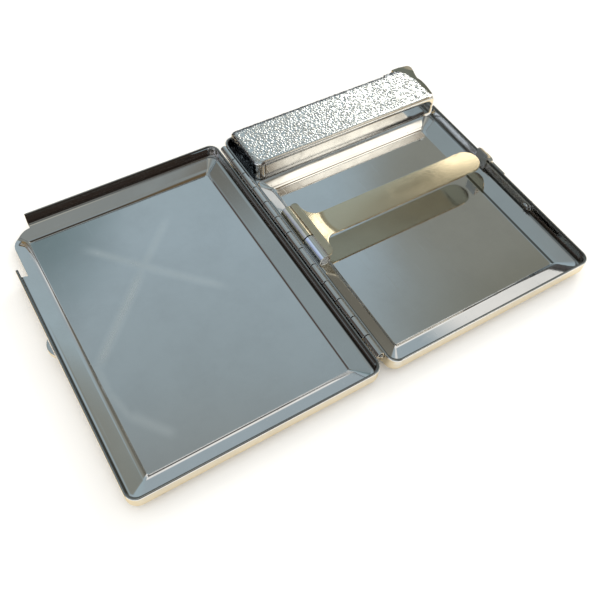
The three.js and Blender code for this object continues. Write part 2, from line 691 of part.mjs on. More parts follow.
function claspRivet() {
  const inner = WALL_IN_X - LEAF_SPRING_THICKNESS - FIT * 2;
  const outer = WALL_OUT_X + FIT;
  const radius = RIVET_HEAD_RADIUS * 0.8;
  const z = leafSpringMidZ();
  return join(
    alongX(disc(CLASP_PIVOT_Y, z, RIVET_RADIUS), inner - RIVET_HEAD, outer + RIVET_HEAD),
    alongX(disc(CLASP_PIVOT_Y, z, radius), inner - RIVET_HEAD, inner),
    alongX(disc(CLASP_PIVOT_Y, z, radius), outer, outer + RIVET_HEAD));
}

function claspPlate() {
  const half = BUTTON_LENGTH / 2 + FIT;
  const y0 = CLASP_Y + half + FIT * 3 - PLATE_LENGTH;
  const y1 = CLASP_Y + half + FIT * 3;
  const foot = BUTTON_FOOT_Z - FIT * 2;
  const sill = BUTTON_FOOT_Z - FIT;
  const top = RIM_HEIGHT - FIT;
  const shape = polygon([
    [y0, foot], [y1, foot], [y1, top], [CLASP_Y + half, top], [CLASP_Y + half, sill],
    [CLASP_Y - half, sill], [CLASP_Y - half, top], [y0, top],
  ]);
  return alongX(shape, WALL_OUT_X + FIT, WALL_OUT_X + FIT + PLATE_THICKNESS);
}

// Arched cover soldered outside the slot in the lid's wall
function lidCatch() {
  const half = CATCH_LENGTH / 2;
  const wall = -WALL_OUT_X - FIT;
  const top = 2 * HINGE_Z - hookShelfZ() + FIT * 2;
  const foot = top - HOOK_LIP - FIT * 5;
  const bow = new THREE.Shape();
  bow.moveTo(wall, CLASP_Y - half);
  bow.quadraticCurveTo(wall - CATCH_REACH * 2, CLASP_Y, wall, CLASP_Y + half);
  bow.closePath();
  const hollow = new THREE.Shape();
  hollow.moveTo(wall + FIT, CLASP_Y - half + SHEET * 2);
  hollow.quadraticCurveTo(wall - CATCH_REACH * 2 + SHEET * 2, CLASP_Y, wall + FIT, CLASP_Y + half - SHEET * 2);
  hollow.closePath();
  return cut(upright(bow, foot, top), upright(hollow, foot + SHEET / 2, top - SHEET / 2));
}

// Lighter sleeve
function sleeveOutline(inset, z) {
  const left = SLEEVE_LEFT_X + inset;
  const near = SLEEVE_NEAR_Y + inset;
  const back = SLEEVE_BACK_Y - inset;
  const frontRadius = SLEEVE_CORNER_RADIUS - inset * 0.5;
  const backRadius = SLEEVE_BACK_CORNER_RADIUS - inset * 0.5;
  const shape = new THREE.Shape();
  const shoulder = { x: HALF_WIDTH - SLEEVE_SHOULDER, y: CASE_LENGTH - SLEEVE_SHOULDER_DEPTH };
  const end = HALF_WIDTH - SLEEVE_BACK;
  const bow = (back - shoulder.y) / 2;
  shape.moveTo(SLEEVE_TIP_X - inset / 4, near);
  shape.lineTo(shoulder.x, shoulder.y);
  shape.bezierCurveTo(shoulder.x - bow / 4, shoulder.y + bow, end + bow, back, end, back);
  shape.lineTo(left + backRadius, back);
  shape.absarc(left + backRadius, back - backRadius, backRadius, Math.PI / 2, Math.PI);
  shape.lineTo(left, near + frontRadius);
  shape.absarc(left + frontRadius, near + frontRadius, frontRadius, Math.PI, Math.PI * 1.5);
  shape.closePath();
  const points = shape.getPoints(CURVE_STEPS);
  const apart = points.filter((p, i) => i === 0 || p.distanceTo(points[i - 1]) > 1e-4);
  if (apart[0].distanceTo(apart[apart.length - 1]) < 1e-4) apart.pop();
  return apart.map((p) => new THREE.Vector3(p.x, p.y, z));
}

function lighterSleeve() {
  const r = SLEEVE_EDGE_RADIUS;
  const lower = r / 3;
  const body = loft([
    sleeveOutline(lower, SLEEVE_FOOT_Z),
    sleeveOutline(0, SLEEVE_FOOT_Z + lower),
    sleeveOutline(0, SLEEVE_TOP_Z - r),
    sleeveOutline(r * 0.13, SLEEVE_TOP_Z - r * 0.5),
    sleeveOutline(r * 0.5, SLEEVE_TOP_Z - r * 0.13),
    sleeveOutline(r, SLEEVE_TOP_Z),
  ]);
  const left = SLEEVE_LEFT_X + SHEET;
  const near = SLEEVE_NEAR_Y + SHEET;
  const back = SLEEVE_BACK_Y - SHEET;
  const radius = SLEEVE_CORNER_RADIUS - SHEET;
  const inside = new THREE.Shape();
  inside.moveTo(HALF_WIDTH + REACH, near);
  inside.lineTo(HALF_WIDTH + REACH, CASE_LENGTH + REACH);
  inside.lineTo(SLEEVE_MOUTH_X, CASE_LENGTH + REACH);
  inside.lineTo(SLEEVE_MOUTH_X, back);
  inside.lineTo(left, back);
  inside.lineTo(left, near + radius);
  inside.absarc(left + radius, near + radius, radius, Math.PI, Math.PI * 1.5);
  inside.closePath();
  const holes = SLEEVE_RIVETS.map(([x, y]) => upright(disc(x, y, RIVET_RADIUS + FIT), 0, WORKS_FLOOR_Z));
  return cut(body, upright(inside, SLEEVE_FOOT_Z + SHEET, SLEEVE_TOP_Z - SHEET), ...holes);
}

function sleeveRivet([x, y]) {
  const base = (radius, z0, z1) => upright(disc(x, y, radius), z0, z1);
  const rise = (SHOULDER_Z - BEVEL_TOP_Z) / (CASE_LENGTH - SHOULDER_INSET - DECK_EDGE_Y);
  const under = BEVEL_TOP_Z + rise * (y - DECK_EDGE_Y) - FIT;
  const inside = SLEEVE_FOOT_Z + SHEET + FIT;
  return rivet(base, under - RIVET_HEAD, inside + RIVET_HEAD, [under - RIVET_HEAD, under], [inside, inside + RIVET_HEAD]);
}

// Works of the lighter
function works(y, radius, x0, x1) {
  return alongX(disc(y, WORKS_Z, radius), x0, x1);
}

function lighterFrame() {
  const x0 = TANK_RIGHT_X + FIT;
  const x1 = x0 + FRAME_THICKNESS;
  const wall = cut(box(x0, x1, WORKS_NEAR_Y, WORKS_BACK_Y, WORKS_FLOOR_Z, WORKS_ROOF_Z),
    works(PIVOT_Y, FLINT_TUBE_RADIUS + FIT, x0 - FIT, x1 + FIT),
    works(WICK_Y, wickTubeRadius() + FIT, x0 - FIT, x1 + FIT));
  const ear = new THREE.Shape();
  ear.moveTo(x0, PIVOT_Y - FRAME_EAR_HALF);
  ear.lineTo(PIVOT_X, PIVOT_Y - FRAME_EAR_HALF);
  ear.absarc(PIVOT_X, PIVOT_Y, FRAME_EAR_HALF, -Math.PI / 2, Math.PI / 2);
  ear.lineTo(x0, PIVOT_Y + FRAME_EAR_HALF);
  ear.closePath();
  ear.holes.push(new THREE.Path().absarc(PIVOT_X, PIVOT_Y, LEVER_PIN_RADIUS + FIT, 0, Math.PI * 2));
  return join(wall,
    upright(ear, WORKS_FLOOR_Z, WORKS_FLOOR_Z + FRAME_THICKNESS),
    upright(ear, WORKS_ROOF_Z - FRAME_THICKNESS, WORKS_ROOF_Z));
}

function wickTubeRadius() {
  return WICK_RADIUS + FIT + WORKS_WALL;
}

function fuelTank() {
  const w = WORKS_WALL;
  return cut(box(TANK_LEFT_X, TANK_RIGHT_X, WORKS_NEAR_Y, WORKS_BACK_Y, WORKS_FLOOR_Z, WORKS_ROOF_Z),
    box(TANK_LEFT_X + w, TANK_RIGHT_X - w, WORKS_NEAR_Y + w, WORKS_BACK_Y - w,
      WORKS_FLOOR_Z + w, WORKS_ROOF_Z - w),
    works(PIVOT_Y, FLINT_TUBE_RADIUS + FIT, TANK_LEFT_X - FIT, TANK_RIGHT_X + FIT),
    works(WICK_Y, wickTubeRadius() + FIT, TANK_RIGHT_X - w * 2, TANK_RIGHT_X + FIT),
    works(FILLER_Y, FILLER_SHANK_RADIUS + FIT, TANK_LEFT_X - FIT, TANK_LEFT_X + w * 2));
}

function pad(y0, y1) {
  const gap = WORKS_WALL + FIT;
  return cut(
    box(TANK_LEFT_X + gap, WICK_START_X - FIT, y0, y1, WORKS_FLOOR_Z + gap, WORKS_ROOF_Z - gap),
    works(FILLER_Y, FILLER_SHANK_RADIUS + FIT, TANK_LEFT_X, TANK_LEFT_X + FILLER_SHANK_LENGTH + FIT));
}

function frontPad() {
  return pad(WORKS_NEAR_Y + FIT + WORKS_WALL, PIVOT_Y - FLINT_TUBE_RADIUS - FIT);
}

function backPad() {
  return pad(PIVOT_Y + FLINT_TUBE_RADIUS + FIT, WORKS_BACK_Y - FIT - WORKS_WALL);
}

function wickTube() {
  return alongX(ring(WICK_Y, WORKS_Z, wickTubeRadius(), WICK_RADIUS + FIT), WICK_START_X, WICK_TUBE_END_X);
}

function wick() {
  return works(WICK_Y, WICK_RADIUS, WICK_START_X, WICK_TIP_X);
}

function flintTipX() {
  return PIVOT_X - WHEEL_RADIUS - FIT;
}

function flintTube() {
  return alongX(ring(PIVOT_Y, WORKS_Z, FLINT_TUBE_RADIUS, FLINT_TUBE_RADIUS - WORKS_WALL),
    TANK_LEFT_X - FIT, flintTipX() - FIT);
}

function flint() {
  return works(PIVOT_Y, FLINT_RADIUS, flintTipX() - FLINT_LENGTH, flintTipX());
}

function flintSpringLength() {
  return FLINT_SPRING_TURNS * FLINT_SPRING_PITCH + FLINT_SPRING_WIRE * 2;
}

function flintSpring() {
  const geometry = coil(FLINT_RADIUS - FLINT_SPRING_WIRE / 2, FLINT_SPRING_WIRE, FLINT_SPRING_TURNS, FLINT_SPRING_PITCH);
  geometry.rotateY(Math.PI / 2);
  geometry.translate(flintTipX() - FLINT_LENGTH - FIT - flintSpringLength(), PIVOT_Y, WORKS_Z);
  return toSolid(geometry);
}

function slottedScrew(y, headRadius, shankRadius, headX, shankEnd) {
  const head = headX + SCREW_HEAD_THICKNESS;
  const slot = box(headX - FIT, headX + SCREW_HEAD_THICKNESS / 2, y - headRadius - FIT, y + headRadius + FIT,
    WORKS_Z - SCREW_SLOT / 2, WORKS_Z + SCREW_SLOT / 2);
  return cut(join(works(y, headRadius, headX, head), works(y, shankRadius, head, shankEnd)), slot);
}

function flintScrew() {
  const headX = TANK_LEFT_X - FIT * 2 - SCREW_HEAD_THICKNESS;
  const shankEnd = flintTipX() - FLINT_LENGTH - flintSpringLength() - FIT * 2;
  return slottedScrew(PIVOT_Y, FLINT_SCREW_HEAD_RADIUS, FLINT_SCREW_SHANK_RADIUS, headX, shankEnd);
}

function fillerScrew() {
  const headX = TANK_LEFT_X - FIT - SCREW_HEAD_THICKNESS;
  return slottedScrew(FILLER_Y, FILLER_HEAD_RADIUS, FILLER_SHANK_RADIUS, headX, TANK_LEFT_X + FILLER_SHANK_LENGTH);
}

function strikerWheel() {
  const points = [];
  for (let i = 0; i < WHEEL_TEETH * 2; i += 1) {
    const angle = (i / WHEEL_TEETH) * Math.PI;
    const radius = WHEEL_RADIUS - (i % 2) * TOOTH_DEPTH;
    points.push([PIVOT_X + radius * Math.cos(angle), PIVOT_Y + radius * Math.sin(angle)]);
  }
  const shape = polygon(points);
  shape.holes.push(new THREE.Path().absarc(PIVOT_X, PIVOT_Y, LEVER_PIN_RADIUS + FIT, 0, Math.PI * 2));
  return upright(shape, WORKS_Z - WHEEL_THICKNESS / 2, WORKS_Z + WHEEL_THICKNESS / 2);
}

function leverPin() {
  return upright(disc(PIVOT_X, PIVOT_Y, LEVER_PIN_RADIUS), WORKS_FLOOR_Z, WORKS_ROOF_Z);
}

// The outer skin of the lever, seen from above, from the snuffer end to the thumb piece
function leverSkin(shape) {
  const round = LEVER_SKIN_X - LEVER_WEB_X;
  const waist = PIVOT_Y + LEVER_BOSS_RADIUS;
  shape.lineTo(LEVER_SKIN_X - round / 2, WORKS_NEAR_Y);
  shape.quadraticCurveTo(LEVER_SKIN_X, WORKS_NEAR_Y, LEVER_SKIN_X, WORKS_NEAR_Y + round / 2);
  shape.quadraticCurveTo(LEVER_SKIN_X + THUMB_ROUND, PIVOT_Y, LEVER_SKIN_X + FIT, waist);
  shape.quadraticCurveTo(LEVER_SKIN_X, waist + LEVER_BOSS_RADIUS / 2, THUMB_TIP.x, THUMB_TIP.y - THUMB_ROUND);
  shape.quadraticCurveTo(THUMB_TIP.x, THUMB_BACK_Y, THUMB_TIP.x - THUMB_ROUND, THUMB_BACK_Y);
  shape.lineTo(THUMB_LEFT_X, THUMB_BACK_Y);
  shape.lineTo(THUMB_LEFT_X, THUMB_BACK_Y - THUMB_DEPTH);
}

function snufferLever() {
  const web = new THREE.Shape();
  web.moveTo(LEVER_WEB_X, WORKS_NEAR_Y);
  leverSkin(web);
  web.lineTo(LEVER_WEB_X - FIT, PIVOT_Y + LEVER_BOSS_RADIUS * 1.8);
  web.lineTo(LEVER_WEB_X + FIT, PIVOT_Y + LEVER_BOSS_RADIUS * 0.8);
  web.lineTo(LEVER_WEB_X, PIVOT_Y - LEVER_BOSS_RADIUS);
  web.closePath();
  const cheek = new THREE.Shape();
  cheek.moveTo(LEVER_WEB_X, WORKS_NEAR_Y);
  leverSkin(cheek);
  cheek.lineTo(PIVOT_X - LEVER_BOSS_RADIUS * 0.8, PIVOT_Y + LEVER_BOSS_RADIUS * 0.6);
  cheek.absarc(PIVOT_X, PIVOT_Y, LEVER_BOSS_RADIUS, Math.PI * 0.8, Math.PI * 1.7);
  cheek.lineTo(LEVER_WEB_X, PIVOT_Y - LEVER_BOSS_RADIUS);
  cheek.closePath();
  cheek.holes.push(new THREE.Path().absarc(PIVOT_X, PIVOT_Y, LEVER_PIN_RADIUS + FIT, 0, Math.PI * 2));
  const lower = WORKS_Z - WHEEL_THICKNESS / 2 - FIT;
  const upper = WORKS_Z + WHEEL_THICKNESS / 2 + FIT;
  const lever = join(
    upright(web, WORKS_FLOOR_Z, WORKS_ROOF_Z, 5),
    upright(cheek, lower - LEVER_CHEEK, lower, 5),
    upright(cheek, upper, upper + LEVER_CHEEK, 5));
  return lever.trimByPlane(...thumbFacet());
}

// Slanted face on the thumb piece's outer corner, as a normal that points into the lever and its offset
function thumbFacet() {
  const into = new THREE.Vector3(-1, -1, -1 / THUMB_FACET_SLOPE).normalize();
  const start = new THREE.Vector3(THUMB_TIP.x - THUMB_FACET, THUMB_BACK_Y, WORKS_ROOF_Z);
  return [into.toArray(), into.dot(start)];
}

// Flat spring that runs from the frame, between the cheeks, to the web of the lever
function leverSpring() {
  const x0 = TANK_RIGHT_X + FIT * 2 + FRAME_THICKNESS;
  const y = PIVOT_Y + LEAF_REACH;
  const foot = y - LEAF_REACH / 2;
  const t = RETURN_SPRING_THICKNESS;
  const tip = LEVER_WEB_X - FIT * 6;
  const shape = new THREE.Shape();
  shape.moveTo(x0, foot);
  shape.lineTo(x0 + t, foot);
  shape.quadraticCurveTo(x0 + t, y, x0 + LEAF_REACH / 2, y);
  shape.quadraticCurveTo((x0 + tip) / 2, y + t, tip, y - t * 2);
  shape.lineTo(tip, y - t);
  shape.quadraticCurveTo((x0 + tip) / 2, y + t * 2, x0 + LEAF_REACH / 2, y + t);
  shape.quadraticCurveTo(x0, y + t, x0, foot);
  return upright(shape, WORKS_Z - WHEEL_THICKNESS / 2, WORKS_Z + WHEEL_THICKNESS / 2);
}

// Assembly
const cigaretteCase = new THREE.Group();
cigaretteCase.name = 'cigarette_case';
const inPlace = new THREE.Group();
inPlace.position.set(-CENTRE_X, -CENTRE_Y, 0);
cigaretteCase.add(inPlace);

function place(name, solid, material) {
  const mesh = new THREE.Mesh(toGeometry(solid), material);
  mesh.name = name;
  inPlace.add(mesh);
}

place('base_shell', baseShell(), chrome);
place('base_hinge_leaf', hingeLeaf(1, 0), chrome);
place('hinge_pin', hingePin(), spring);
place('lid_shell', lidShell(), chrome);
place('lid_hinge_leaf', hingeLeaf(-1, 1), chrome);
place('lid_catch', lidCatch(), chrome);
place('retainer_bracket', retainerBracket(), satin);
place('retainer_pin', retainerPin(), spring);
place('retainer_spring', retainerSpring(), spring);
place('retainer_arm', retainerArm(), satin);
place('clasp_spring', claspSpring(), spring);
place('clasp_button', claspButton(), chrome);
place('clasp_hook', claspHook(), spring);
place('clasp_rivet', claspRivet(), chrome);
place('clasp_plate', claspPlate(), chrome);
place('lighter_sleeve', lighterSleeve(), embossed);
SLEEVE_RIVETS.forEach((spot, i) => place(`sleeve_rivet_${i + 1}`, sleeveRivet(spot), chrome));
place('lighter_frame', lighterFrame(), brass);
place('fuel_tank', fuelTank(), brass);
place('wadding_front', frontPad(), cotton);
place('wadding_back', backPad(), cotton);
place('wick_tube', wickTube(), brass);
place('wick', wick(), cotton);
place('filler_screw', fillerScrew(), brass);
place('flint_tube', flintTube(), brass);
place('flint_screw', flintScrew(), brass);
place('flint_spring', flintSpring(), spring);
place('flint', flint(), flintGrey);
place('striker_wheel', strikerWheel(), toolSteel);
place('lever_pin', leverPin(), spring);
place('snuffer_lever', snufferLever(), chrome);
place('lever_spring', leverSpring(), spring);

export default cigaretteCase;
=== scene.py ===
"""Looks of the cigarette case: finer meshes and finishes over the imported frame, a white table and a sky."""
import math
import random

import bmesh
import bpy
from mathutils import Matrix, Vector, noise
from mathutils.geometry import delaunay_2d_cdt


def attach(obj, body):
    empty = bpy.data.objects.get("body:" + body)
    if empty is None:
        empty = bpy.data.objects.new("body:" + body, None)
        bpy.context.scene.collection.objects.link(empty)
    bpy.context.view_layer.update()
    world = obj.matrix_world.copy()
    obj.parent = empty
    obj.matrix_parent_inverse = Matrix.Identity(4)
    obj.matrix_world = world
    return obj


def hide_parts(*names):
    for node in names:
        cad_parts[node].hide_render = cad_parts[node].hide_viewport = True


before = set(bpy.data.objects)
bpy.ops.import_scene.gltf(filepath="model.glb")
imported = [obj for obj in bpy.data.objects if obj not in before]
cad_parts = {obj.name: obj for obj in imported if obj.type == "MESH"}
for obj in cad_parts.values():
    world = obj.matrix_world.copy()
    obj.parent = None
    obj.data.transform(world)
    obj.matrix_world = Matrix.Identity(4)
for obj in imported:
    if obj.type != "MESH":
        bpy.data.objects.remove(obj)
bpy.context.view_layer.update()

random.seed(7)
noise.seed_set(7)

# The sizes are millimetres in the CAD's own frame: hinge pin over x = 0, near wall at y = 0, table at z = 0
X0, Y0 = 40.45, 52.0
LENGTH, WIDTH, RIM, SHEET, CORNER = 104.0, 79.4, 7.5, 0.6, 3.4
FIT = 0.3
HINGE_X, HINGE_Z, HINGE_MARGIN, KNUCKLES = 1.5, 7.65, 4, 13
KNUCKLE_R, LEAF = 1.2, 0.4
PIN_R = 0.45
ARM_Y = 53.04
BARREL_X, BARREL_Z = 4.7, 7.2
BARREL_NEAR, BARREL_SPLIT, BARREL_FAR = 41.24, 51.15, 64.84

# The inner panel's distance from the left, right, near and far edge of its tray
LID_PANEL = (7.1, 6.0, 7.1, 5.8)
BASE_PANEL = (7.2, 6.4, 7.5, 23.9)
DECK = 20.0

# Lighter works: their level, the lever's pivot and boss, and its thumb piece
WORKS_Z = 7.6
PIVOT_X, PIVOT_Y, BOSS_R = 72.5, 93.5, 2.4
LEVER_NEAR, LEVER_SKIN, LEVER_WEB = 85.8, 80.3, 77.2
LEVER_FOOT, LEVER_TOP, CHEEK = 4.7, 10.5, 0.8
THUMB_LEFT, THUMB_RIGHT, THUMB_BACK = 74.4, 82.6, 104.6


def row(p):
    """A place in millimetres, in the shared frame's metres."""
    return Vector(((p[0] - X0) / 1000, (p[1] - Y0) / 1000, p[2] / 1000))


# Meshes
def add_object(name, mesh):
    obj = bpy.data.objects.new(name, mesh)
    bpy.context.scene.collection.objects.link(obj)
    return obj


def solid(name, verts, faces):
    mesh = bpy.data.meshes.new(name)
    mesh.from_pydata([row(v) for v in verts], [], faces)
    bm = bmesh.new()
    bm.from_mesh(mesh)
    bmesh.ops.remove_doubles(bm, verts=bm.verts, dist=1e-7)
    bmesh.ops.recalc_face_normals(bm, faces=bm.faces)
    bm.to_mesh(mesh)
    bm.free()
    return add_object(name, mesh)


def place(axis, a, b, c):
    return {"x": (c, a, b), "y": (a, c, b), "z": (a, b, c)}[axis]


def prism(name, outline, axis, start, end):
    """An outline pushed along an axis: (y, z) along x, (x, z) along y, (x, y) along z."""
    count = len(outline)
    verts = [place(axis, a, b, start) for a, b in outline] + [place(axis, a, b, end) for a, b in outline]
    faces = [list(range(count))[::-1], list(range(count, 2 * count))]
    faces += [[i, (i + 1) % count, (i + 1) % count + count, i + count] for i in range(count)]
    return solid(name, verts, faces)


def arc(cx, cy, r, a0, a1, steps):
    turns = [math.radians(a0 + (a1 - a0) * i / steps) for i in range(steps + 1)]
    return [(cx + r * math.cos(a), cy + r * math.sin(a)) for a in turns]


def bezier(p0, p1, p2, p3, steps):
    """A cubic curve's points after its first."""
    out = []
    for i in range(1, steps + 1):
        t = i / steps
        k = ((1 - t) ** 3, 3 * t * (1 - t) ** 2, 3 * t * t * (1 - t), t ** 3)
        out.append(tuple(sum(w * p[j] for w, p in zip(k, (p0, p1, p2, p3))) for j in (0, 1)))
    return out


def quad(p0, p1, p2, steps):
    """A quadratic curve's points after its first."""
    out = []
    for i in range(1, steps + 1):
        t = i / steps
        k = ((1 - t) ** 2, 2 * t * (1 - t), t * t)
        out.append(tuple(sum(w * p[j] for w, p in zip(k, (p0, p1, p2))) for j in (0, 1)))
    return out


def block(name, x0, x1, y0, y1, z0, z1):
    return prism(name, [(x0, y0), (x1, y0), (x1, y1), (x0, y1)], "z", z0, z1)


def carve(obj, *tools, how="DIFFERENCE"):
    """Cuts the tools from the object, or joins them to it, and uses them up."""
    for tool in tools:
        cut = obj.modifiers.new("cut", "BOOLEAN")
        cut.operation = how
        cut.object = tool
        cut.solver = "EXACT"
    bpy.context.view_layer.update()
    graph = bpy.context.evaluated_depsgraph_get()
    mesh = bpy.data.meshes.new_from_object(obj.evaluated_get(graph))
    obj.modifiers.clear()
    obj.data = mesh
    for tool in tools:
        bpy.data.objects.remove(tool)
    return obj


def merge(name, *parts):
    """One object of several meshes, which are used up."""
    bm = bmesh.new()
    for part in parts:
        bm.from_mesh(part.data)
        bpy.data.objects.remove(part)
    mesh = bpy.data.meshes.new(name)
    bm.to_mesh(mesh)
    bm.free()
    return add_object(name, mesh)


def finish_piece(obj, material, body, *nodes, bevel=0.0, angle=38, slot="chrome"):
    """Material, rounded edges, smooth shading, and the nodes and body that the piece stands for; slot is not
    used.
    """
    obj.data.materials.clear()
    obj.data.materials.append(material)
    for face in obj.data.polygons:
        face.use_smooth = True
        face.material_index = 0
    if bevel:
        edge = obj.modifiers.new("edge", "BEVEL")
        edge.width = bevel / 1000
        edge.segments = 3
        edge.limit_method = "ANGLE"
        edge.angle_limit = math.radians(angle)
        edge.use_clamp_overlap = True
    else:
        obj.data.set_sharp_from_angle(angle=math.radians(angle))
    even = obj.modifiers.new("normals", "WEIGHTED_NORMAL")
    even.keep_sharp = True
    even.weight = 80
    if nodes:
        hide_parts(*nodes)
    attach(obj, body)
    return obj


def refine(node, material, body, bevel, slot):
    """A CAD piece as it is, welded and cleaned, with fine rounded edges."""
    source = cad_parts[node]
    bm = bmesh.new()
    bm.from_mesh(source.data)
    bmesh.ops.transform(bm, matrix=source.matrix_world, verts=bm.verts)
    bmesh.ops.remove_doubles(bm, verts=bm.verts, dist=1e-6)
    bmesh.ops.dissolve_limit(bm, angle_limit=math.radians(1.5), verts=bm.verts, edges=bm.edges)
    mesh = bpy.data.meshes.new(node + "_look")
    bm.to_mesh(mesh)
    bm.free()
    return finish_piece(add_object(node + "_look", mesh), material, body, node, bevel=bevel, slot=slot)


# Finishes
class Shader:
    """A material's nodes. Its places and distances are metres on the object."""

    def __init__(self, mat):
        self.mat = mat
        mat.use_nodes = True
        self.tree = mat.node_tree
        self.out = self.tree.nodes["Principled BSDF"]
        self.coords = self.tree.nodes.new("ShaderNodeTexCoord").outputs["Object"]

    def link(self, source, target):
        self.tree.links.new(source, target)

    def split(self):
        made = self.tree.nodes.new("ShaderNodeSeparateXYZ")
        self.link(self.coords, made.inputs[0])
        return made.outputs

    def math(self, how, a, b=0.0, c=0.0):
        made = self.tree.nodes.new("ShaderNodeMath")
        made.operation = how
        for i, value in enumerate((a, b, c)):
            if isinstance(value, bpy.types.NodeSocket):
                self.link(value, made.inputs[i])
            else:
                made.inputs[i].default_value = value
        return made.outputs[0]

    def times(self, first, *rest):
        for value in rest:
            first = self.math("MULTIPLY", first, value)
        return first

    def ramp(self, value, low, high, out_low=0.0, out_high=1.0):
        made = self.tree.nodes.new("ShaderNodeMapRange")
        made.interpolation_type = "SMOOTHSTEP"
        self.link(value, made.inputs["Value"])
        made.inputs["From Min"].default_value = low
        made.inputs["From Max"].default_value = high
        made.inputs["To Min"].default_value = out_low
        made.inputs["To Max"].default_value = out_high
        return made.outputs["Result"]

    def band(self, value, start, full, fade, end):
        """0 up to start, 1 from full to fade, and 0 from end on."""
        return self.times(self.ramp(value, start, full), self.ramp(value, fade, end, 1.0, 0.0))

    def noise(self, scale, detail=3.0, stretch=(1, 1, 1), turn=0.0, rough=0.55):
        at = self.tree.nodes.new("ShaderNodeMapping")
        self.link(self.coords, at.inputs["Vector"])
        at.inputs["Scale"].default_value = stretch
        at.inputs["Rotation"].default_value = (0, 0, math.radians(turn))
        made = self.tree.nodes.new("ShaderNodeTexNoise")
        self.link(at.outputs[0], made.inputs["Vector"])
        made.inputs["Scale"].default_value = scale
        made.inputs["Detail"].default_value = detail
        made.inputs["Roughness"].default_value = rough
        return made.outputs["Fac"]

    def mix(self, factor, a, b):
        made = self.tree.nodes.new("ShaderNodeMix")
        made.data_type = "RGBA"
        for key, value in ((0, factor), (6, a), (7, b)):
            if isinstance(value, bpy.types.NodeSocket):
                self.link(value, made.inputs[key])
            else:
                made.inputs[key].default_value = value if key == 0 else (*value, 1.0)
        return made.outputs[2]

    def bump(self, height, strength, distance, after=None):
        made = self.tree.nodes.new("ShaderNodeBump")
        made.inputs["Strength"].default_value = strength
        made.inputs["Distance"].default_value = distance
        self.link(height, made.inputs["Height"])
        if after is not None:
            self.link(after, made.inputs["Normal"])
        return made.outputs[0]

    def along(self, start, direction):
        """The distance from start in one direction."""
        off = self.tree.nodes.new("ShaderNodeVectorMath")
        off.operation = "SUBTRACT"
        self.link(self.coords, off.inputs[0])
        off.inputs[1].default_value = start
        made = self.tree.nodes.new("ShaderNodeVectorMath")
        made.operation = "DOT_PRODUCT"
        self.link(off.outputs[0], made.inputs[0])
        made.inputs[1].default_value = direction
        return made.outputs["Value"]

    def segment(self, a, b, width):
        """1 on the line from a to b on the sheet, 0 at width from it."""
        a, b = row((*a, 0)), row((*b, 0))
        span = b - a
        across = self.along(a, Vector((-span.y, span.x, 0)) / span.length)
        share = self.along(a, span / span.length_squared)
        near = self.ramp(self.math("ABSOLUTE", across), 0.0, width / 1000, 1.0, 0.0)
        ends = self.ramp(self.math("ABSOLUTE", self.math("SUBTRACT", share, 0.5)), 0.3, 0.56, 1.0, 0.0)
        return self.times(near, ends)


def crease_shade_mask(s, x0, x1):
    """Where the painted shade goes: 1 on the inner face of a tray's wall and on the inner part of its bead.
    """
    at = s.split()
    low, high, corner = row((x0, 0, 0)), row((x1, LENGTH, 0)), CORNER / 1000
    past = []
    for k in (0, 1):
        off = s.math("ABSOLUTE", s.math("SUBTRACT", at[k], (low[k] + high[k]) / 2))
        past.append(s.math("SUBTRACT", off, (high[k] - low[k]) / 2 - corner))
    squares = [s.math("POWER", s.math("MAXIMUM", value, 0.0), 2.0) for value in past]
    beyond = s.math("SQRT", s.math("ADD", *squares))
    within = s.math("MINIMUM", s.math("MAXIMUM", *past), 0.0)
    inset = s.math("SUBTRACT", corner, s.math("ADD", beyond, within))
    height = s.band(at[2], 0.0028, 0.0034, 0.0063, 0.0068)
    wall = s.times(s.band(inset, 0.0005, 0.00075, 0.0010, 0.0014), height)
    bead = s.times(s.ramp(inset, 0.0002, 0.0005, 0.25, 0.85), s.band(inset, 0.0, 0.0001, 0.0010, 0.0011))
    return s.math("MAXIMUM", wall, s.times(bead, s.ramp(at[2], 0.0067, 0.0071)))


def border_shade_line(s, x, y0, y1):
    """Where a painted shade line goes: 1 along the inner panel's border at x, from y0 to y1, on the tray's
    inner face.
    """
    at = s.split()
    start, stop = row((x, y0, 0)), row((x, y1, 0))
    across = s.math("ABSOLUTE", s.math("SUBTRACT", at[0], start.x))
    along = s.band(at[1], start.y - 0.0003, start.y, stop.y, stop.y + 0.004)
    level = s.band(at[2], 0.0003, 0.0005, 0.0013, 0.0015)
    return s.times(s.ramp(across, 0.00018, 0.00036, 1.0, 0.0), along, level)


def hairlines(s):
    """Fine scratches in three directions."""
    lines = 0.0
    for scale, stretch, turn, low, high in (
        (1400, (1, 0.03, 1), 31, 0.66, 0.74),
        (1200, (0.03, 1, 1), -12, 0.68, 0.76),
        (900, (1, 0.05, 1), -58, 0.68, 0.75),
    ):
        lines = s.math("MAXIMUM", s.ramp(s.noise(scale, 2, stretch, turn), low, high), lines)
    return lines


def specks(s):
    """A grain of dust in some of the cells that the sheet is divided into."""
    dust = s.tree.nodes.new("ShaderNodeTexVoronoi")
    s.link(s.coords, dust.inputs["Vector"])
    dust.inputs["Scale"].default_value = 150
    pick = s.tree.nodes.new("ShaderNodeSeparateColor")
    s.link(dust.outputs["Color"], pick.inputs[0])
    return s.times(s.ramp(dust.outputs["Distance"], 0.03, 0.06, 1.0, 0.0), s.ramp(pick.outputs[0], 0.86, 0.9))


def wiped(s, marks):
    """Soft marks on the sheet's inner face, each from one point to another, as wide and strong as it says."""
    haze = 0.0
    for a, b, width, amount in marks:
        haze = s.math("MAXIMUM", s.times(s.segment(a, b, width), amount), haze)
    return s.times(haze, s.ramp(s.split()[2], 0.0002, 0.0005))


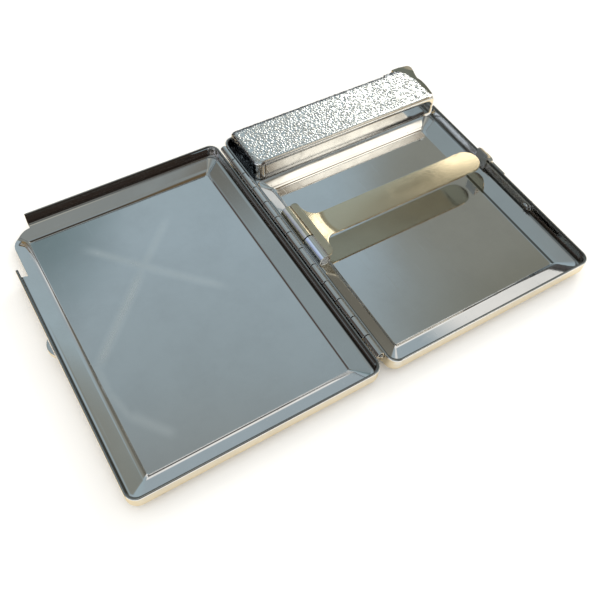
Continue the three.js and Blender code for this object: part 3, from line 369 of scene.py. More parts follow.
def plated(name, color, rough, smudge=0.07, wave=0.25, scratch=0.5, brushed=0.0, marks=(),
           worn=(0.55, 0.5, 0.42), tray=None, line=None):
    """Polished or satin plate: smudges, fine scratches, dust, slightly wavy sheet and worn edges; on the
    trays also painted shade under the rim and, on the base, a painted shade line along the panel border.
    """
    s = Shader(bpy.data.materials.new(name))
    blot = s.noise(55, 5, rough=0.62)
    prints = s.noise(190, 4, (1, 1.6, 1), 24)
    lines = hairlines(s)
    speck = specks(s)
    level = s.math("ADD", s.ramp(blot, 0.4, 0.72, 0.0, smudge), s.ramp(prints, 0.5, 0.8, 0.0, smudge * 0.8))
    level = s.math("ADD", level, s.times(lines, 0.12 * scratch))
    level = s.math("ADD", level, s.times(speck, 0.45))
    geo = s.tree.nodes.new("ShaderNodeNewGeometry")
    edge = s.times(s.ramp(geo.outputs["Pointiness"], 0.54, 0.64), s.ramp(s.noise(420, 4), 0.42, 0.62))
    tone = s.mix(s.ramp(blot, 0.35, 0.75), color, tuple(c * 0.93 for c in color))
    tone = s.mix(s.times(edge, 0.5), tone, worn)
    tone = s.mix(s.times(speck, 0.6), tone, (0.9, 0.9, 0.88))
    if marks:
        haze = wiped(s, marks)
        level = s.math("ADD", level, s.times(haze, 0.3))
        tone = s.mix(haze, tone, tuple(min(1, c * 1.2) for c in color))
    if tray:
        # Painted shade: the wall's inner face and the bead darkened, near black on the near side and dark
        # grey on the far side, for the shadow under the rim.
        dark = s.mix(s.ramp(s.split()[1], 0.035, 0.05), (0.05, 0.048, 0.035), (0.22, 0.20, 0.19))
        tone = s.mix(s.times(crease_shade_mask(s, *tray), 0.92), tone, dark)
    if line:
        # Painted shade: a dark line along the panel's border.
        tone = s.mix(s.times(border_shade_line(s, *line), 0.9), tone, (0.12, 0.11, 0.09))
    s.link(s.math("ADD", level, rough), s.out.inputs["Roughness"])
    s.link(tone, s.out.inputs["Base Color"])
    s.out.inputs["Metallic"].default_value = 1.0
    bend = s.bump(s.noise(26, 2), wave, 0.0006)
    bend = s.bump(lines, 0.12 * scratch, 0.00002, bend)
    if brushed:
        hair = s.noise(5200, 3, (0.02, 1, 1))
        bend = s.bump(hair, brushed, 0.00004, bend)
        s.out.inputs["Anisotropic"].default_value = 0.5
    s.link(bend, s.out.inputs["Normal"])
    return s.mat


def painted_dark_reflection(mat):
    """Painted dark reflection: the sleeve's rear edge and left end darkened over their grain, for the dark
    surroundings those faces mirror.
    """
    s = Shader(mat)
    at = s.split()
    rear = s.ramp(at[1], row((0, 100.9, 0)).y, row((0, 101.6, 0)).y)
    left = s.ramp(at[0], row((4.4, 0, 0)).x, row((5.0, 0, 0)).x, 1.0, 0.0)
    tone = s.out.inputs["Base Color"].links[0].from_socket
    s.link(s.mix(s.math("MAXIMUM", rear, left), tone, (0.24, 0.25, 0.27)), s.out.inputs["Base Color"])
    return mat


def plain(name, color, rough, metallic, grain=700, depth=0.00005):
    """A dull material with a fine grain."""
    s = Shader(bpy.data.materials.new(name))
    mottle = s.noise(grain, 4)
    s.link(s.mix(s.ramp(mottle, 0.3, 0.7), tuple(c * 0.78 for c in color), color), s.out.inputs["Base Color"])
    uneven = s.ramp(s.noise(grain / 4, 3), 0.3, 0.7, rough * 0.8, min(1, rough * 1.2))
    s.link(uneven, s.out.inputs["Roughness"])
    s.out.inputs["Metallic"].default_value = metallic
    s.link(s.bump(mottle, 0.5, depth), s.out.inputs["Normal"])
    return s.mat


# Wiped marks on the lid: two ends, width and strength
WIPED = [
    ((-28.0, 87.0), (-52.0, 63.5), 2.4, 0.5),
    ((-44.0, 71.3), (-72.0, 42.8), 2.8, 0.75),
    ((-58.0, 87.5), (-38.0, 65.2), 2.6, 0.6),
    ((-46.0, 73.5), (-24.0, 51.0), 2.6, 0.5),
    ((-70.6, 47.0), (-70.8, 34.0), 1.8, 0.4),
    ((-71.0, 36.0), (-68.6, 24.0), 2.0, 0.45),
    ((-69.6, 27.0), (-60.0, 14.0), 2.8, 0.5),
]
# The right border of the base's panel: its x, and where its painted shade line starts and stops
BORDER = (WIDTH - BASE_PANEL[1] - 0.15, BASE_PANEL[2] + 0.3, 58)
POLISH = (0.83, 0.84, 0.85)
# The trays' chrome carries painted shade under the rim; the base's also a painted shade line along its
# panel's right border.
shell_chrome = plated("shell_chrome", POLISH, 0.035, 0.06, 0.16, 0.6, tray=(HINGE_X, WIDTH), line=BORDER)
lid_chrome = plated("lid_chrome", POLISH, 0.04, 0.06, 0.16, 0.6, marks=WIPED, tray=(-WIDTH, -HINGE_X))
chrome = plated("chrome", (0.84, 0.84, 0.84), 0.06, 0.08, 0.1, 0.5)
gilt = plated("satin_gilt", (0.80, 0.69, 0.50), 0.13, 0.06, 0.08, 0.35, brushed=0.25)
bright_gilt = plated("bright_gilt", (0.86, 0.83, 0.77), 0.1, 0.06, 0.08, 0.4)
embossed = plated("embossed_chrome", (0.92, 0.92, 0.91), 0.12, 0.08, 0.05, 0.3)
# Painted shade: the lever's chrome darkened in its colour, for the shade between the sleeve's edge and the
# lever.
shade_darkened_chrome = plated("shade_darkened_chrome", (0.40, 0.36, 0.27), 0.1, 0.08, 0.08, 0.5)
steel = plated("spring_steel", (0.58, 0.57, 0.55), 0.22, 0.1, 0.1, 0.8)
brass = plated("dull_brass", (0.72, 0.56, 0.30), 0.28, 0.12, 0.1, 0.8, worn=(0.8, 0.66, 0.4))
tool = plated("tool_steel", (0.30, 0.30, 0.31), 0.35, 0.1, 0.1, 0.8)
cotton = plain("cotton", (0.85, 0.82, 0.74), 0.95, 0.0, 1600, 0.0002)
flint_grey = plain("flint_grey", (0.16, 0.155, 0.15), 0.75, 0.3)


# Trays
def lerp(a, b, t):
    return tuple(x + (y - x) * t for x, y in zip(a, b))


def soften(rows, cuts, steps):
    """Rounds the profile's corners. A row is the inset left, right, near and far, the height and radius."""
    out = [rows[0]]
    for i in range(1, len(rows) - 1):
        here, cut = rows[i], cuts[i]
        if not cut:
            out.append(here)
            continue
        sides = []
        for other in (rows[i - 1], rows[i + 1]):
            length = math.hypot(here[2] - other[2], here[4] - other[4]) or 1e-6
            sides.append(lerp(here, other, min(0.47, cut / length)))
        for k in range(steps + 1):
            t = k / steps
            out.append(lerp(lerp(sides[0], here, t), lerp(here, sides[1], t), t))
    out.append(rows[-1])
    return out


def ring(rect, insets, z, radius, steps=12):
    """A rectangle with round corners, at one height."""
    x0, x1 = rect[0] + insets[0], rect[1] - insets[1]
    y0, y1 = rect[2] + insets[2], rect[3] - insets[3]
    left, right, low, high = x0 + radius, x1 - radius, y0 + radius, y1 - radius
    corners = ((right, high, 0), (left, high, 90), (left, low, 180), (right, low, 270))
    return [(x, y, z) for cx, cy, a in corners for x, y in arc(cx, cy, radius, a, a + 90, steps)]


def tray(name, rect, panel, deck=0):
    """Pressed sheet. Its profile goes up the outside to the rim and down the inside to the panel."""
    panel_corner = 0.7

    def at_wall(inset, z):
        return (inset, inset, inset, inset, z, CORNER - inset * 0.5)

    def at_top(inset, z):
        return (inset, inset, inset, max(inset, deck), z, CORNER - inset * 0.5)

    def at_panel(shift, z):
        return (*(p + shift for p in panel), z, panel_corner)

    # Each corner of the profile, with the length that its rounding takes from both sides:
    # the underside, the slope and wall outside, the bead, the wall and slope inside, the panel's border
    rows, cuts = zip(*[
        (at_panel(0.6, 0), 0),
        (at_panel(-0.1, 0), 0.25),
        (at_panel(-0.5, 0.7), 0.2),
        (at_top(1.5, 2.72), 0.3),
        (at_wall(0.8, 2.3), 0.3),
        (at_wall(0.3, 2.2), 0.35),
        (at_wall(0, 3.1), 0.5),
        (at_wall(0, RIM - 1.15), 0.15),
        (at_wall(-0.06, RIM - 0.95), 0.15),
        (at_wall(-0.06, RIM), 0.4),
        (at_wall(0.78, RIM), 0.5),
        (at_wall(0.78, RIM - 0.95), 0.15),
        (at_wall(SHEET, RIM - 1.15), 0.15),
        (at_wall(SHEET, 4.3), 0.5),
        (at_wall(0.95, 3.5), 0.35),
        (at_top(1.8, 3.36), 0.45),
        (at_panel(-1.0, 1.62), 0.25),
        (at_panel(-0.35, 1.28), 0.25),
        (at_panel(0.1, 1.0), 0.2),
        (at_panel(0.5, 0.66), 0.12),
        (at_panel(0.62, SHEET), 0.05),
        (at_panel(1.4, SHEET), 0),
    ])
    rows = soften(rows, cuts, 4)
    loops = [ring(rect, r[:4], r[4], r[5]) for r in rows]
    count = len(loops[0])
    verts = [v for loop in loops for v in loop]
    faces = [list(range(count)), list(range((len(loops) - 1) * count, len(loops) * count))[::-1]]
    for k in range(len(loops) - 1):
        for i in range(count):
            j = (i + 1) % count
            faces.append([k * count + i, (k + 1) * count + i, (k + 1) * count + j, k * count + j])
    return solid(name, verts, faces)


def notch(side):
    """What is cut off the corner beside the thumb lever."""
    near, turn, x, radius = 83.4, 94.6, 76.6, 7.0
    beyond_x, beyond_y = 95, 130
    outline = [(beyond_x, near), (x, near)] + arc(x - radius, turn, radius, 0, 90, 16)
    outline += [(x - radius, beyond_y), (beyond_x, beyond_y)]
    return prism("notch", [(side * a, b) for a, b in outline], "z", -20, 40)


def opening(x, half, low, high):
    """What is cut from the long wall whose outer face is at x, opposite the arm."""
    inner = x - math.copysign(SHEET, x)
    return block("opening", min(x, inner) - FIT, max(x, inner) + FIT, ARM_Y - half, ARM_Y + half, low, high)


# The clasp's hook enters a slot in the lid, and its button stands in a gate in the base
slot = opening(-WIDTH, 2.9, 5.45, 6.6)
gate = opening(WIDTH, 3.3, 4.1, 30)

lid = carve(tray("lid_shell_look", (-WIDTH, -HINGE_X, 0, LENGTH), LID_PANEL), notch(-1), slot)
finish_piece(lid, lid_chrome, "lid", "lid_shell", angle=50)

base = carve(tray("base_shell_look", (HINGE_X, WIDTH, 0, LENGTH), BASE_PANEL, DECK), notch(1), gate)
finish_piece(base, shell_chrome, "base", "base_shell", angle=50)


# Hinge: sheet rolled round the pin
def rolled(cx, cz, r, t, start, sweep, steps=26):
    """The outline of sheet of thickness t that is rolled to the radius r."""
    return arc(cx, cz, r, start, start + sweep, steps) + arc(cx, cz, r - t, start + sweep, start, steps)


def hinge_leaf(name, side, parity):
    """One leaf on its side of the pin, with every second knuckle."""
    pitch = (LENGTH - 2 * HINGE_MARGIN) / KNUCKLES
    outer, inner = side * KNUCKLE_R, side * (KNUCKLE_R - LEAF)
    low, top, sunk, inset = HINGE_Z - 4.05, HINGE_Z - 1.5, 0.4, side * 0.04
    first = HINGE_MARGIN + parity * pitch + FIT / 2
    last = HINGE_MARGIN + (KNUCKLES - parity) * pitch - FIT / 2
    parts = [prism("plate", [(inner, low), (outer, low), (outer, top), (inner, top)], "y", first, last)]
    neck = [(inner + inset, top - sunk), (outer - inset, top - sunk)]
    curl = rolled(0, HINGE_Z, KNUCKLE_R, LEAF, 0 if side > 0 else 180, side * 325)
    for i in range(parity, KNUCKLES, 2):
        start = HINGE_MARGIN + i * pitch + FIT / 2
        parts.append(prism("curl", neck + curl, "y", start, start + pitch - FIT))
    return merge(name, *parts)


for side, parity, body in ((1, 0, "base"), (-1, 1, "lid")):
    leaf = hinge_leaf(body + "_hinge_leaf_look", side, parity)
    finish_piece(leaf, chrome, body, body + "_hinge_leaf", bevel=0.07)


def pin_rod(name, x, z, radius, start, end, steps=23):
    """A round rod along y."""
    return prism(name, arc(x, z, radius, 0, 360 - 360 / (steps + 1), steps), "y", start, end)


PIN_PAST = 0.5
pin = pin_rod("hinge_pin_look", 0, HINGE_Z, PIN_R, HINGE_MARGIN - PIN_PAST, LENGTH - HINGE_MARGIN + PIN_PAST)
finish_piece(pin, steel, "base", "hinge_pin", bevel=0.1, slot="spring_steel")


# Retainer arm and its bracket
def slab(name, xs, span, top, thick, count):
    """A bent plate: its sides run from span(x)[0] to span(x)[1] along y, and top(x, y) is its upper face."""
    verts, faces = [], []
    for lift in (0, -thick):
        for x in xs:
            low, high = span(x)
            ys = [low + (high - low) * k / count for k in range(count + 1)]
            verts += [(x, y, top(x, y) + lift) for y in ys]
    wide, half = count + 1, len(xs) * (count + 1)
    for i in range(len(xs) - 1):
        for k in range(count):
            a = i * wide + k
            faces.append([a, a + wide, a + wide + 1, a + 1])
            faces.append([a + half, a + half + 1, a + half + wide + 1, a + half + wide])
        for k in (0, count):
            a = i * wide + k
            faces.append([a, a + half, a + half + wide, a + wide])
    for start in (0, (len(xs) - 1) * wide):
        faces += [[start + k, start + k + 1, start + k + 1 + half, start + k + half] for k in range(count)]
    return solid(name, verts, faces)


def retainer_arm():
    """A strip with a round tip, a root that widens in two fillets and rises in a crest, and a barrel."""
    flat, ledge, fillet, half, tip, thick = 9.0, 8.0, 4.6, 4.9, 69.9, 0.52
    crest, crest_reach, crest_bow, dome = 0.95, 4.7, 0.9, 0.12
    root_x, root_z, slope, root_corner, root_thick = 6.0, 9.35, 0.31, 1.4, 0.5

    def arm_span(x):
        wide = half
        if x < ledge + fillet:
            wide += fillet - math.sqrt(max(0, fillet ** 2 - (ledge + fillet - max(x, ledge)) ** 2))
        if x > tip:
            wide = max(0.02, math.sqrt(max(0, half ** 2 - (x - tip) ** 2)))
        return ARM_Y - wide, ARM_Y + wide

    def arm_top(x, y):
        across = (y - ARM_Y) / half
        u = (x - ledge) / (crest_reach + crest_bow * min(1.4, across * across))
        # The crest falls evenly and runs out in a parabola
        fall = 1 - u if u < 0.75 else 0.25 * max(0, (1.25 - u) / 0.5) ** 2
        rise = dome * (1 - min(1, across * across)) * min(1, max(0, u - 0.5))
        return flat + crest * min(1.0, fall) + rise

    def root_span(x):
        past = max(0, x - ledge + root_corner)
        cut = root_corner - math.sqrt(max(0, root_corner ** 2 - past ** 2))
        return BARREL_NEAR + cut, BARREL_FAR - cut

    def root_top(x, y):
        return root_z + slope * (x - root_x)

    xs = [7.6 + 0.2 * i for i in range(36)] + [15 + i * 1.3 for i in range(42)]
    xs += [tip + half * math.sin(math.radians(3 * i)) for i in range(31)]
    strip = slab("strip", xs, arm_span, arm_top, thick, 26)
    xs = [root_x + 0.1 * i for i in range(7)]
    xs += [root_x + 0.6 + 1.4 * math.sin(math.radians(6 * i)) for i in range(1, 16)]
    root = slab("root", xs, root_span, root_top, root_thick, 30)
    barrel = rolled(BARREL_X, BARREL_Z, 2.1, root_thick, 52, 316, 48)
    roll = prism("roll", barrel, "y", BARREL_SPLIT, BARREL_FAR)
    return merge("retainer_arm_look", strip, root, roll)


arm = finish_piece(retainer_arm(), gilt, "retainer", "retainer_arm", bevel=0.09, slot="satin_gilt")


def retainer_bracket():
    """An upright plate that steps down at its far end, with the near part of the barrel rolled from it."""
    foot, top, low, tail, corner = 4.1, 6.6, 5.9, 4.9, 1.5
    inner, outer = 2.4, 2.9
    near, far = BARREL_NEAR - 5.2, BARREL_FAR + 16.2
    bend, middle, shoulder = BARREL_FAR + 12.2, BARREL_FAR + 8.7, BARREL_FAR + 5.2
    gap_near, gap_far = BARREL_SPLIT - FIT, BARREL_FAR + FIT
    outline = [(near, foot), (far, foot), (far, tail), (bend, tail)]
    outline += bezier((bend, tail), (middle, tail), (middle, top), (shoulder, top), 14)
    outline += [(gap_far, top), (gap_far, low), (gap_near, low), (gap_near, top)]
    outline += [(near + corner, top), (near, top - corner)]
    plate = prism("plate", outline, "x", inner, outer)
    roll = rolled(BARREL_X, BARREL_Z, 2.0, outer - inner, 180, -318, 48)
    curl = prism("curl", [(outer, foot + 0.4), (inner, foot + 0.4)] + roll, "y", BARREL_NEAR, gap_near)
    return merge("retainer_bracket_look", plate, curl)


bracket = retainer_bracket()
finish_piece(bracket, bright_gilt, "base", "retainer_bracket", bevel=0.07, slot="satin_gilt")
pin = merge(
    "retainer_pin_look",
    pin_rod("shank", BARREL_X, BARREL_Z, PIN_R, BARREL_NEAR + 0.3, BARREL_FAR),
    pin_rod("head", BARREL_X, BARREL_Z, 1.42, BARREL_NEAR + 0.05, BARREL_NEAR + 0.45, 44),
)
finish_piece(pin, steel, "base", "retainer_pin", bevel=0.1, slot="spring_steel")


# Lighter sleeve
class Sleeve:
    """One closed skin: embossed outside with rounded edges, plain inside, and a mouth at the right end."""
    LEFT, NEAR, BACK, TOP, FOOT = 4.1, 83.9, 103.1, 11.4, 3.55
    TIP, SHOULDER, END, MOUTH = 79.0, 94.8, 73.2, 69.5
    EDGE, FRONT_R, BACK_R = 1.7, 3.6, 1.6
    # Grains per millimetre and their depth, and the smooth strips beside the near wall and above the foot
    GRAIN, GRAIN_DEPTH, SMOOTH, SMOOTH_FOOT, FADE = 1.3, 0.34, 1.2, 0.5, 0.4
    STEP = 0.25

    def path(self):
        """The outline seen from above, in short steps."""
        bow = (self.BACK - self.SHOULDER) / 2
        path = [(self.TIP, self.NEAR), (self.TIP, self.SHOULDER)]
        path += bezier(path[-1], (self.TIP - bow / 4, self.SHOULDER + bow), (self.END + bow, self.BACK),
                       (self.END, self.BACK), 30)
        path += [(self.MOUTH, self.BACK), (self.LEFT + self.BACK_R, self.BACK)]
        path += arc(self.LEFT + self.BACK_R, self.BACK - self.BACK_R, self.BACK_R, 90, 180, 14)
        path += arc(self.LEFT + self.FRONT_R, self.NEAR + self.FRONT_R, self.FRONT_R, 180, 270, 22)
        path += [(self.TIP, self.NEAR)]
        out = []
        for a, b in zip(path, path[1:]):
            length = math.dist(a, b)
            if length < 1e-6:
                continue
            count = max(1, round(length / self.STEP))
            out += [lerp(a, b, i / count) for i in range(count)]
        return out

    def normals(self, path):
        """At each point the way out, as long as an offset by 1 needs."""
        out = []
        count = len(path)
        for i in range(count):
            sides = []
            for a, b in ((path[i - 1], path[i]), (path[i], path[(i + 1) % count])):
                d = Vector((b[0] - a[0], b[1] - a[1])).normalized()
                sides.append(Vector((d.y, -d.x)))
            both = (sides[0] + sides[1]).normalized()
            out.append(both / max(0.5, both.dot(sides[0])))
        return out

    def levels(self):
        """The height, the inset and how far the way out points up, from the foot to the edge of the top."""
        foot = ((0, 0.4), (0.12, 0.12), (0.4, 0), (SHEET, 0))
        levels = [(self.FOOT + up, inset, 0) for up, inset in foot]
        low, high = self.FOOT + SHEET, self.TOP - self.EDGE
        rows = round((high - low) / self.STEP)
        levels += [(low + (high - low) * i / rows, 0, 0) for i in range(1, rows + 1)]
        for i in range(1, 9):
            a = math.radians(90 * i / 8)
            levels.append((high + self.EDGE * math.sin(a), self.EDGE * (1 - math.cos(a)), math.sin(a)))
        return levels

    def build(self):
        self.outline = self.path()
        self.out = self.normals(self.outline)
        self.count = len(self.outline)
        self.mouth = [p[0] > self.MOUTH - 0.01 and p[1] > self.NEAR + 0.7 for p in self.outline]
        self.rows = self.levels()
        # The mouth is open between these two levels
        self.lower = 3
        self.upper = max(k for k, level in enumerate(self.rows) if level[0] <= self.TOP - SHEET + 0.05)
        self.verts, self.ways, self.faces = [], [], []
        self.wall()
        self.roof()
        self.faces.append(list(range(self.count))[::-1])
        self.verts = [self.emboss(v, n) for v, n in zip(self.verts, self.ways)]
        self.inside()
        return solid("lighter_sleeve_look", self.verts, self.faces)

    def wall(self):
        count = self.count
        for z, inset, lift in self.rows:
            for p, n, open_ in zip(self.outline, self.out, self.mouth):
                by = inset * (0.3 if open_ else 1.0)
                self.verts.append((p[0] - n.x * by, p[1] - n.y * by, z))
                flat = n.normalized() * math.sqrt(max(0, 1 - lift * lift))
                self.ways.append(Vector((flat.x, flat.y, lift)))
        for k in range(len(self.rows) - 1):
            for i in range(count):
                j = (i + 1) % count
                if self.lower <= k < self.upper and self.mouth[i] and self.mouth[j]:
                    continue
                self.faces.append([k * count + i, k * count + j, (k + 1) * count + j, (k + 1) * count + i])

    def roof(self):
        count, last = self.count, (len(self.rows) - 1) * self.count
        rim = [self.verts[last + i][:2] for i in range(count)]
        points = [Vector(p) for p in rim + self.fill(rim)]
        found = delaunay_2d_cdt(points, [], [list(range(count))], 1, 1e-5)
        index = {}
        for k, (p, source) in enumerate(zip(found[0], found[3])):
            if source and source[0] < count:
                index[k] = last + source[0]
            else:
                index[k] = len(self.verts)
                self.verts.append((p.x, p.y, self.TOP))
                self.ways.append(Vector((0, 0, 1)))
        self.faces += [[index[i] for i in face] for face in found[2]]

    def inside(self):
        """Floor, roof and wall of the hollow, and the two edges of its mouth."""
        floor = self.layer(self.lower, self.FOOT + SHEET)
        roof = self.layer(self.upper, self.TOP - SHEET)
        for i in range(self.count):
            j = (i + 1) % self.count
            if not self.mouth[i] and not self.mouth[j]:
                self.faces.append([floor[i], floor[j], roof[j], roof[i]])
            elif self.mouth[i] != self.mouth[j]:
                at, other = (i, j) if self.mouth[i] else (j, i)
                edge = [k * self.count + at for k in range(self.lower, self.upper + 1)]
                self.faces.append(edge + [roof[other], floor[other]])

    def layer(self, level, z):
        loop = []
        for i, (p, n, open_) in enumerate(zip(self.outline, self.out, self.mouth)):
            if open_:
                loop.append(level * self.count + i)
            else:
                loop.append(len(self.verts))
                self.verts.append((p[0] - n.x * SHEET, p[1] - n.y * SHEET, z))
        self.faces.append(loop)
        return loop

    def fill(self, rim):
        """Points all over the top, in offset rows, each moved a little."""
        step, shake = self.STEP, 0.03
        apart = step * 0.866
        edges = list(zip(rim, rim[1:] + rim[:1]))
        points = []
        for k in range(int((self.BACK - self.NEAR) / apart) + 1):
            y = self.NEAR + k * apart
            crossed = [(a, b) for a, b in edges if (a[1] > y) != (b[1] > y)]
            ends = sorted(a[0] + (y - a[1]) * (b[0] - a[0]) / (b[1] - a[1]) for a, b in crossed)
            for x0, x1 in zip(ends[::2], ends[1::2]):
                x = x0 + step * (0.5 if k % 2 else 0.85)
                while x < x1 - step * 0.4:
                    points.append((x + random.uniform(-shake, shake), y + random.uniform(-shake, shake)))
                    x += step
        low, high = self.NEAR + self.EDGE + step * 0.5, self.BACK - self.EDGE - step * 0.4
        return [p for p in points if low < p[1] < high]

    def emboss(self, v, n):
        """Pebbled grain on the top, the left end and the back; the near wall and its corner stay smooth."""
        facing = max(0.0, -n.y) if n.z < 0.5 else 0.0
        mask = 1.0 - min(1.0, facing * 4)
        if n.x > -0.7:
            mask *= min(1.0, max(0.0, (v[1] - self.NEAR - self.SMOOTH) / self.FADE))
        mask *= min(1.0, max(0.0, (v[2] - self.FOOT - self.SMOOTH_FOOT) / self.FADE))
        if mask <= 0:
            return v
        at = Vector(v)
        wobble = noise.noise_vector(at * self.GRAIN) * 0.4
        near, _ = noise.voronoi((at + wobble) * self.GRAIN)
        gap = min(1.0, max(0.0, (near[1] - near[0]) / 0.5))
        height = gap * gap * (3 - 2 * gap)
        height = height * 0.75 + 0.25 * (0.5 + 0.5 * noise.noise(at * 2.3))
        down = (1 - height) * self.GRAIN_DEPTH * mask
        return (v[0] - n.x * down, v[1] - n.y * down, v[2] - n.z * down)


sleeve = Sleeve().build()
# The sleeve's rear edge and left end carry a painted dark reflection.
finish_piece(sleeve, painted_dark_reflection(embossed), "base", "lighter_sleeve", angle=60, slot="embossed_chrome")


# Thumb lever with its hood
def lever_skin():
    """The outer side, from the near end past the pivot to the thumb piece and back round its far side."""
    corner, waist = 1.55, PIVOT_Y + BOSS_R
    thumb_y, turn_x, thumb_depth = 102.8, 81.4, 4
    start = (LEVER_SKIN - corner, LEVER_NEAR)
    out = [start] + quad(start, (LEVER_SKIN, LEVER_NEAR), (LEVER_SKIN, LEVER_NEAR + corner), 8)
    out += quad((LEVER_SKIN, LEVER_NEAR + corner), (LEVER_SKIN + 1.2, PIVOT_Y), (LEVER_SKIN + FIT, waist), 16)
    out += quad((LEVER_SKIN + FIT, waist), (LEVER_SKIN, waist + 1.2), (THUMB_RIGHT, thumb_y), 14)
    out += quad((THUMB_RIGHT, thumb_y), (THUMB_RIGHT, THUMB_BACK), (turn_x, THUMB_BACK), 8)
    out += [(THUMB_LEFT, THUMB_BACK), (THUMB_LEFT, THUMB_BACK - thumb_depth)]
    return out


def snuffer_lever():
    """A hood over the right end, with the thumb piece, and two cheeks that turn on the pin."""
    start, waist = (LEVER_WEB, LEVER_NEAR), (LEVER_WEB, PIVOT_Y - BOSS_R)
    skin = [start] + lever_skin()
    web = skin + [(76.9, 97.82), (77.5, 95.42), waist]
    cheek = skin + arc(PIVOT_X, PIVOT_Y, BOSS_R, 144, 306, 24) + [waist]
    apart = 2.2
    lower, upper = WORKS_Z - apart / 2, WORKS_Z + apart / 2
    lever = prism("snuffer_lever_look", web, "z", LEVER_FOOT, LEVER_TOP)
    under = prism("cheek", cheek, "z", lower - CHEEK, lower)
    over = prism("cheek", cheek, "z", upper, upper + CHEEK)
    carve(lever, under, over, how="UNION")
    # Slanted face on the thumb piece's outer corner
    bm = bmesh.new()
    bm.from_mesh(lever.data)
    everything = bm.verts[:] + bm.edges[:] + bm.faces[:]
    cut = bmesh.ops.bisect_plane(
        bm,
        geom=everything,
        plane_co=row((77.4, THUMB_BACK, LEVER_TOP)),
        plane_no=Vector((0.5, 0.5, 3.33)),
        clear_outer=True,
    )
    bmesh.ops.edgenet_fill(bm, edges=[e for e in cut["geom_cut"] if isinstance(e, bmesh.types.BMEdge)])
    bm.to_mesh(lever.data)
    bm.free()
    return lever


# The lever's darkened chrome is painted shade.
finish_piece(snuffer_lever(), shade_darkened_chrome, "lever", "snuffer_lever", bevel=0.16)

# The remaining pieces keep their CAD shape
for node, material, body, bevel, slot in (
    ("lid_catch", chrome, "lid", 0.12, "chrome"),
    ("clasp_plate", chrome, "base", 0.08, "chrome"),
    ("clasp_rivet", chrome, "base", 0.1, "chrome"),
    ("clasp_button", chrome, "clasp", 0.22, "chrome"),
    ("clasp_hook", steel, "clasp", 0.08, "spring_steel"),
    ("clasp_spring", steel, "clasp", 0.07, "spring_steel"),
    ("sleeve_rivet_1", chrome, "base", 0.1, "chrome"),
    ("sleeve_rivet_2", chrome, "base", 0.1, "chrome"),
    ("retainer_spring", steel, "base", 0, "spring_steel"),
    ("flint_spring", steel, "base", 0, "spring_steel"),
    ("lever_spring", steel, "base", 0, "spring_steel"),
    ("lever_pin", steel, "base", 0.08, "spring_steel"),
    ("striker_wheel", tool, "wheel", 0.04, "tool_steel"),
    ("lighter_frame", brass, "base", 0.06, "brass"),
    ("fuel_tank", brass, "base", 0.08, "brass"),
    ("wick_tube", brass, "base", 0.06, "brass"),
    ("flint_tube", brass, "base", 0.06, "brass"),
    ("filler_screw", brass, "filler", 0.06, "brass"),
    ("flint_screw", brass, "flint_plug", 0.06, "brass"),
    ("wadding_front", cotton, "base", 0.3, "cotton"),
    ("wadding_back", cotton, "base", 0.3, "cotton"),
    ("wick", cotton, "base", 0.1, "cotton"),
    ("flint", flint_grey, "base", 0.08, "flint"),
):
    refine(node, material, body, bevel, slot)


# Table and sky
def table_top():
    """White for the eye; in the metal it carries painted shade, cream in front of the case and dark behind
    it.
    """
    mesh = bpy.data.meshes.new("table_top")
    half, below = 1.5, -5e-5
    corners = ((-half, -half), (half, -half), (half, half), (-half, half))
    mesh.from_pydata([(x, y, below) for x, y in corners], [], [[0, 1, 2, 3]])
    table = add_object("table_top", mesh)
    s = Shader(bpy.data.materials.new("table"))
    path = s.tree.nodes.new("ShaderNodeLightPath")
    y = s.split()[1]
    # Painted shade in the table as the metal mirrors it: cream just in front of the case, dark beyond its far
    # side.
    cream = s.mix(s.ramp(y, -0.0572, -0.0528), (1.0, 0.985, 0.94), (0.98, 0.83, 0.58))
    reflected_painted_shade = s.mix(s.ramp(y, 0.06, 0.085), cream, (0.10, 0.085, 0.07))
    s.link(s.mix(path.outputs["Is Glossy Ray"], (0.98, 0.975, 0.96), reflected_painted_shade), s.out.inputs["Base Color"])
    s.out.inputs["Roughness"].default_value = 0.6
    s.out.inputs["Specular IOR Level"].default_value = 0.1
    mesh.materials.append(s.mat)


def toward(azimuth, height):
    """The way to a place in the sky, in degrees from +Y toward +X and in degrees above the table."""
    a, e = math.radians(azimuth), math.radians(height)
    return Vector((math.sin(a) * math.cos(e), math.cos(a) * math.cos(e), math.sin(e)))


# The sky that the metal mirrors: colours by the sine of the height
SKY = (
    (0.0, (0.10, 0.09, 0.08)),
    (0.11, (0.13, 0.12, 0.11)),
    (0.19, (1.0, 0.98, 0.92)),
    (0.29, (0.85, 0.85, 0.82)),
    (0.37, (0.36, 0.42, 0.45)),
    (0.6, (0.37, 0.46, 0.49)),
    (0.77, (0.36, 0.44, 0.48)),
    (0.87, (0.31, 0.37, 0.39)),
    (0.94, (0.26, 0.28, 0.27)),
    (1.0, (0.26, 0.27, 0.25)),
)
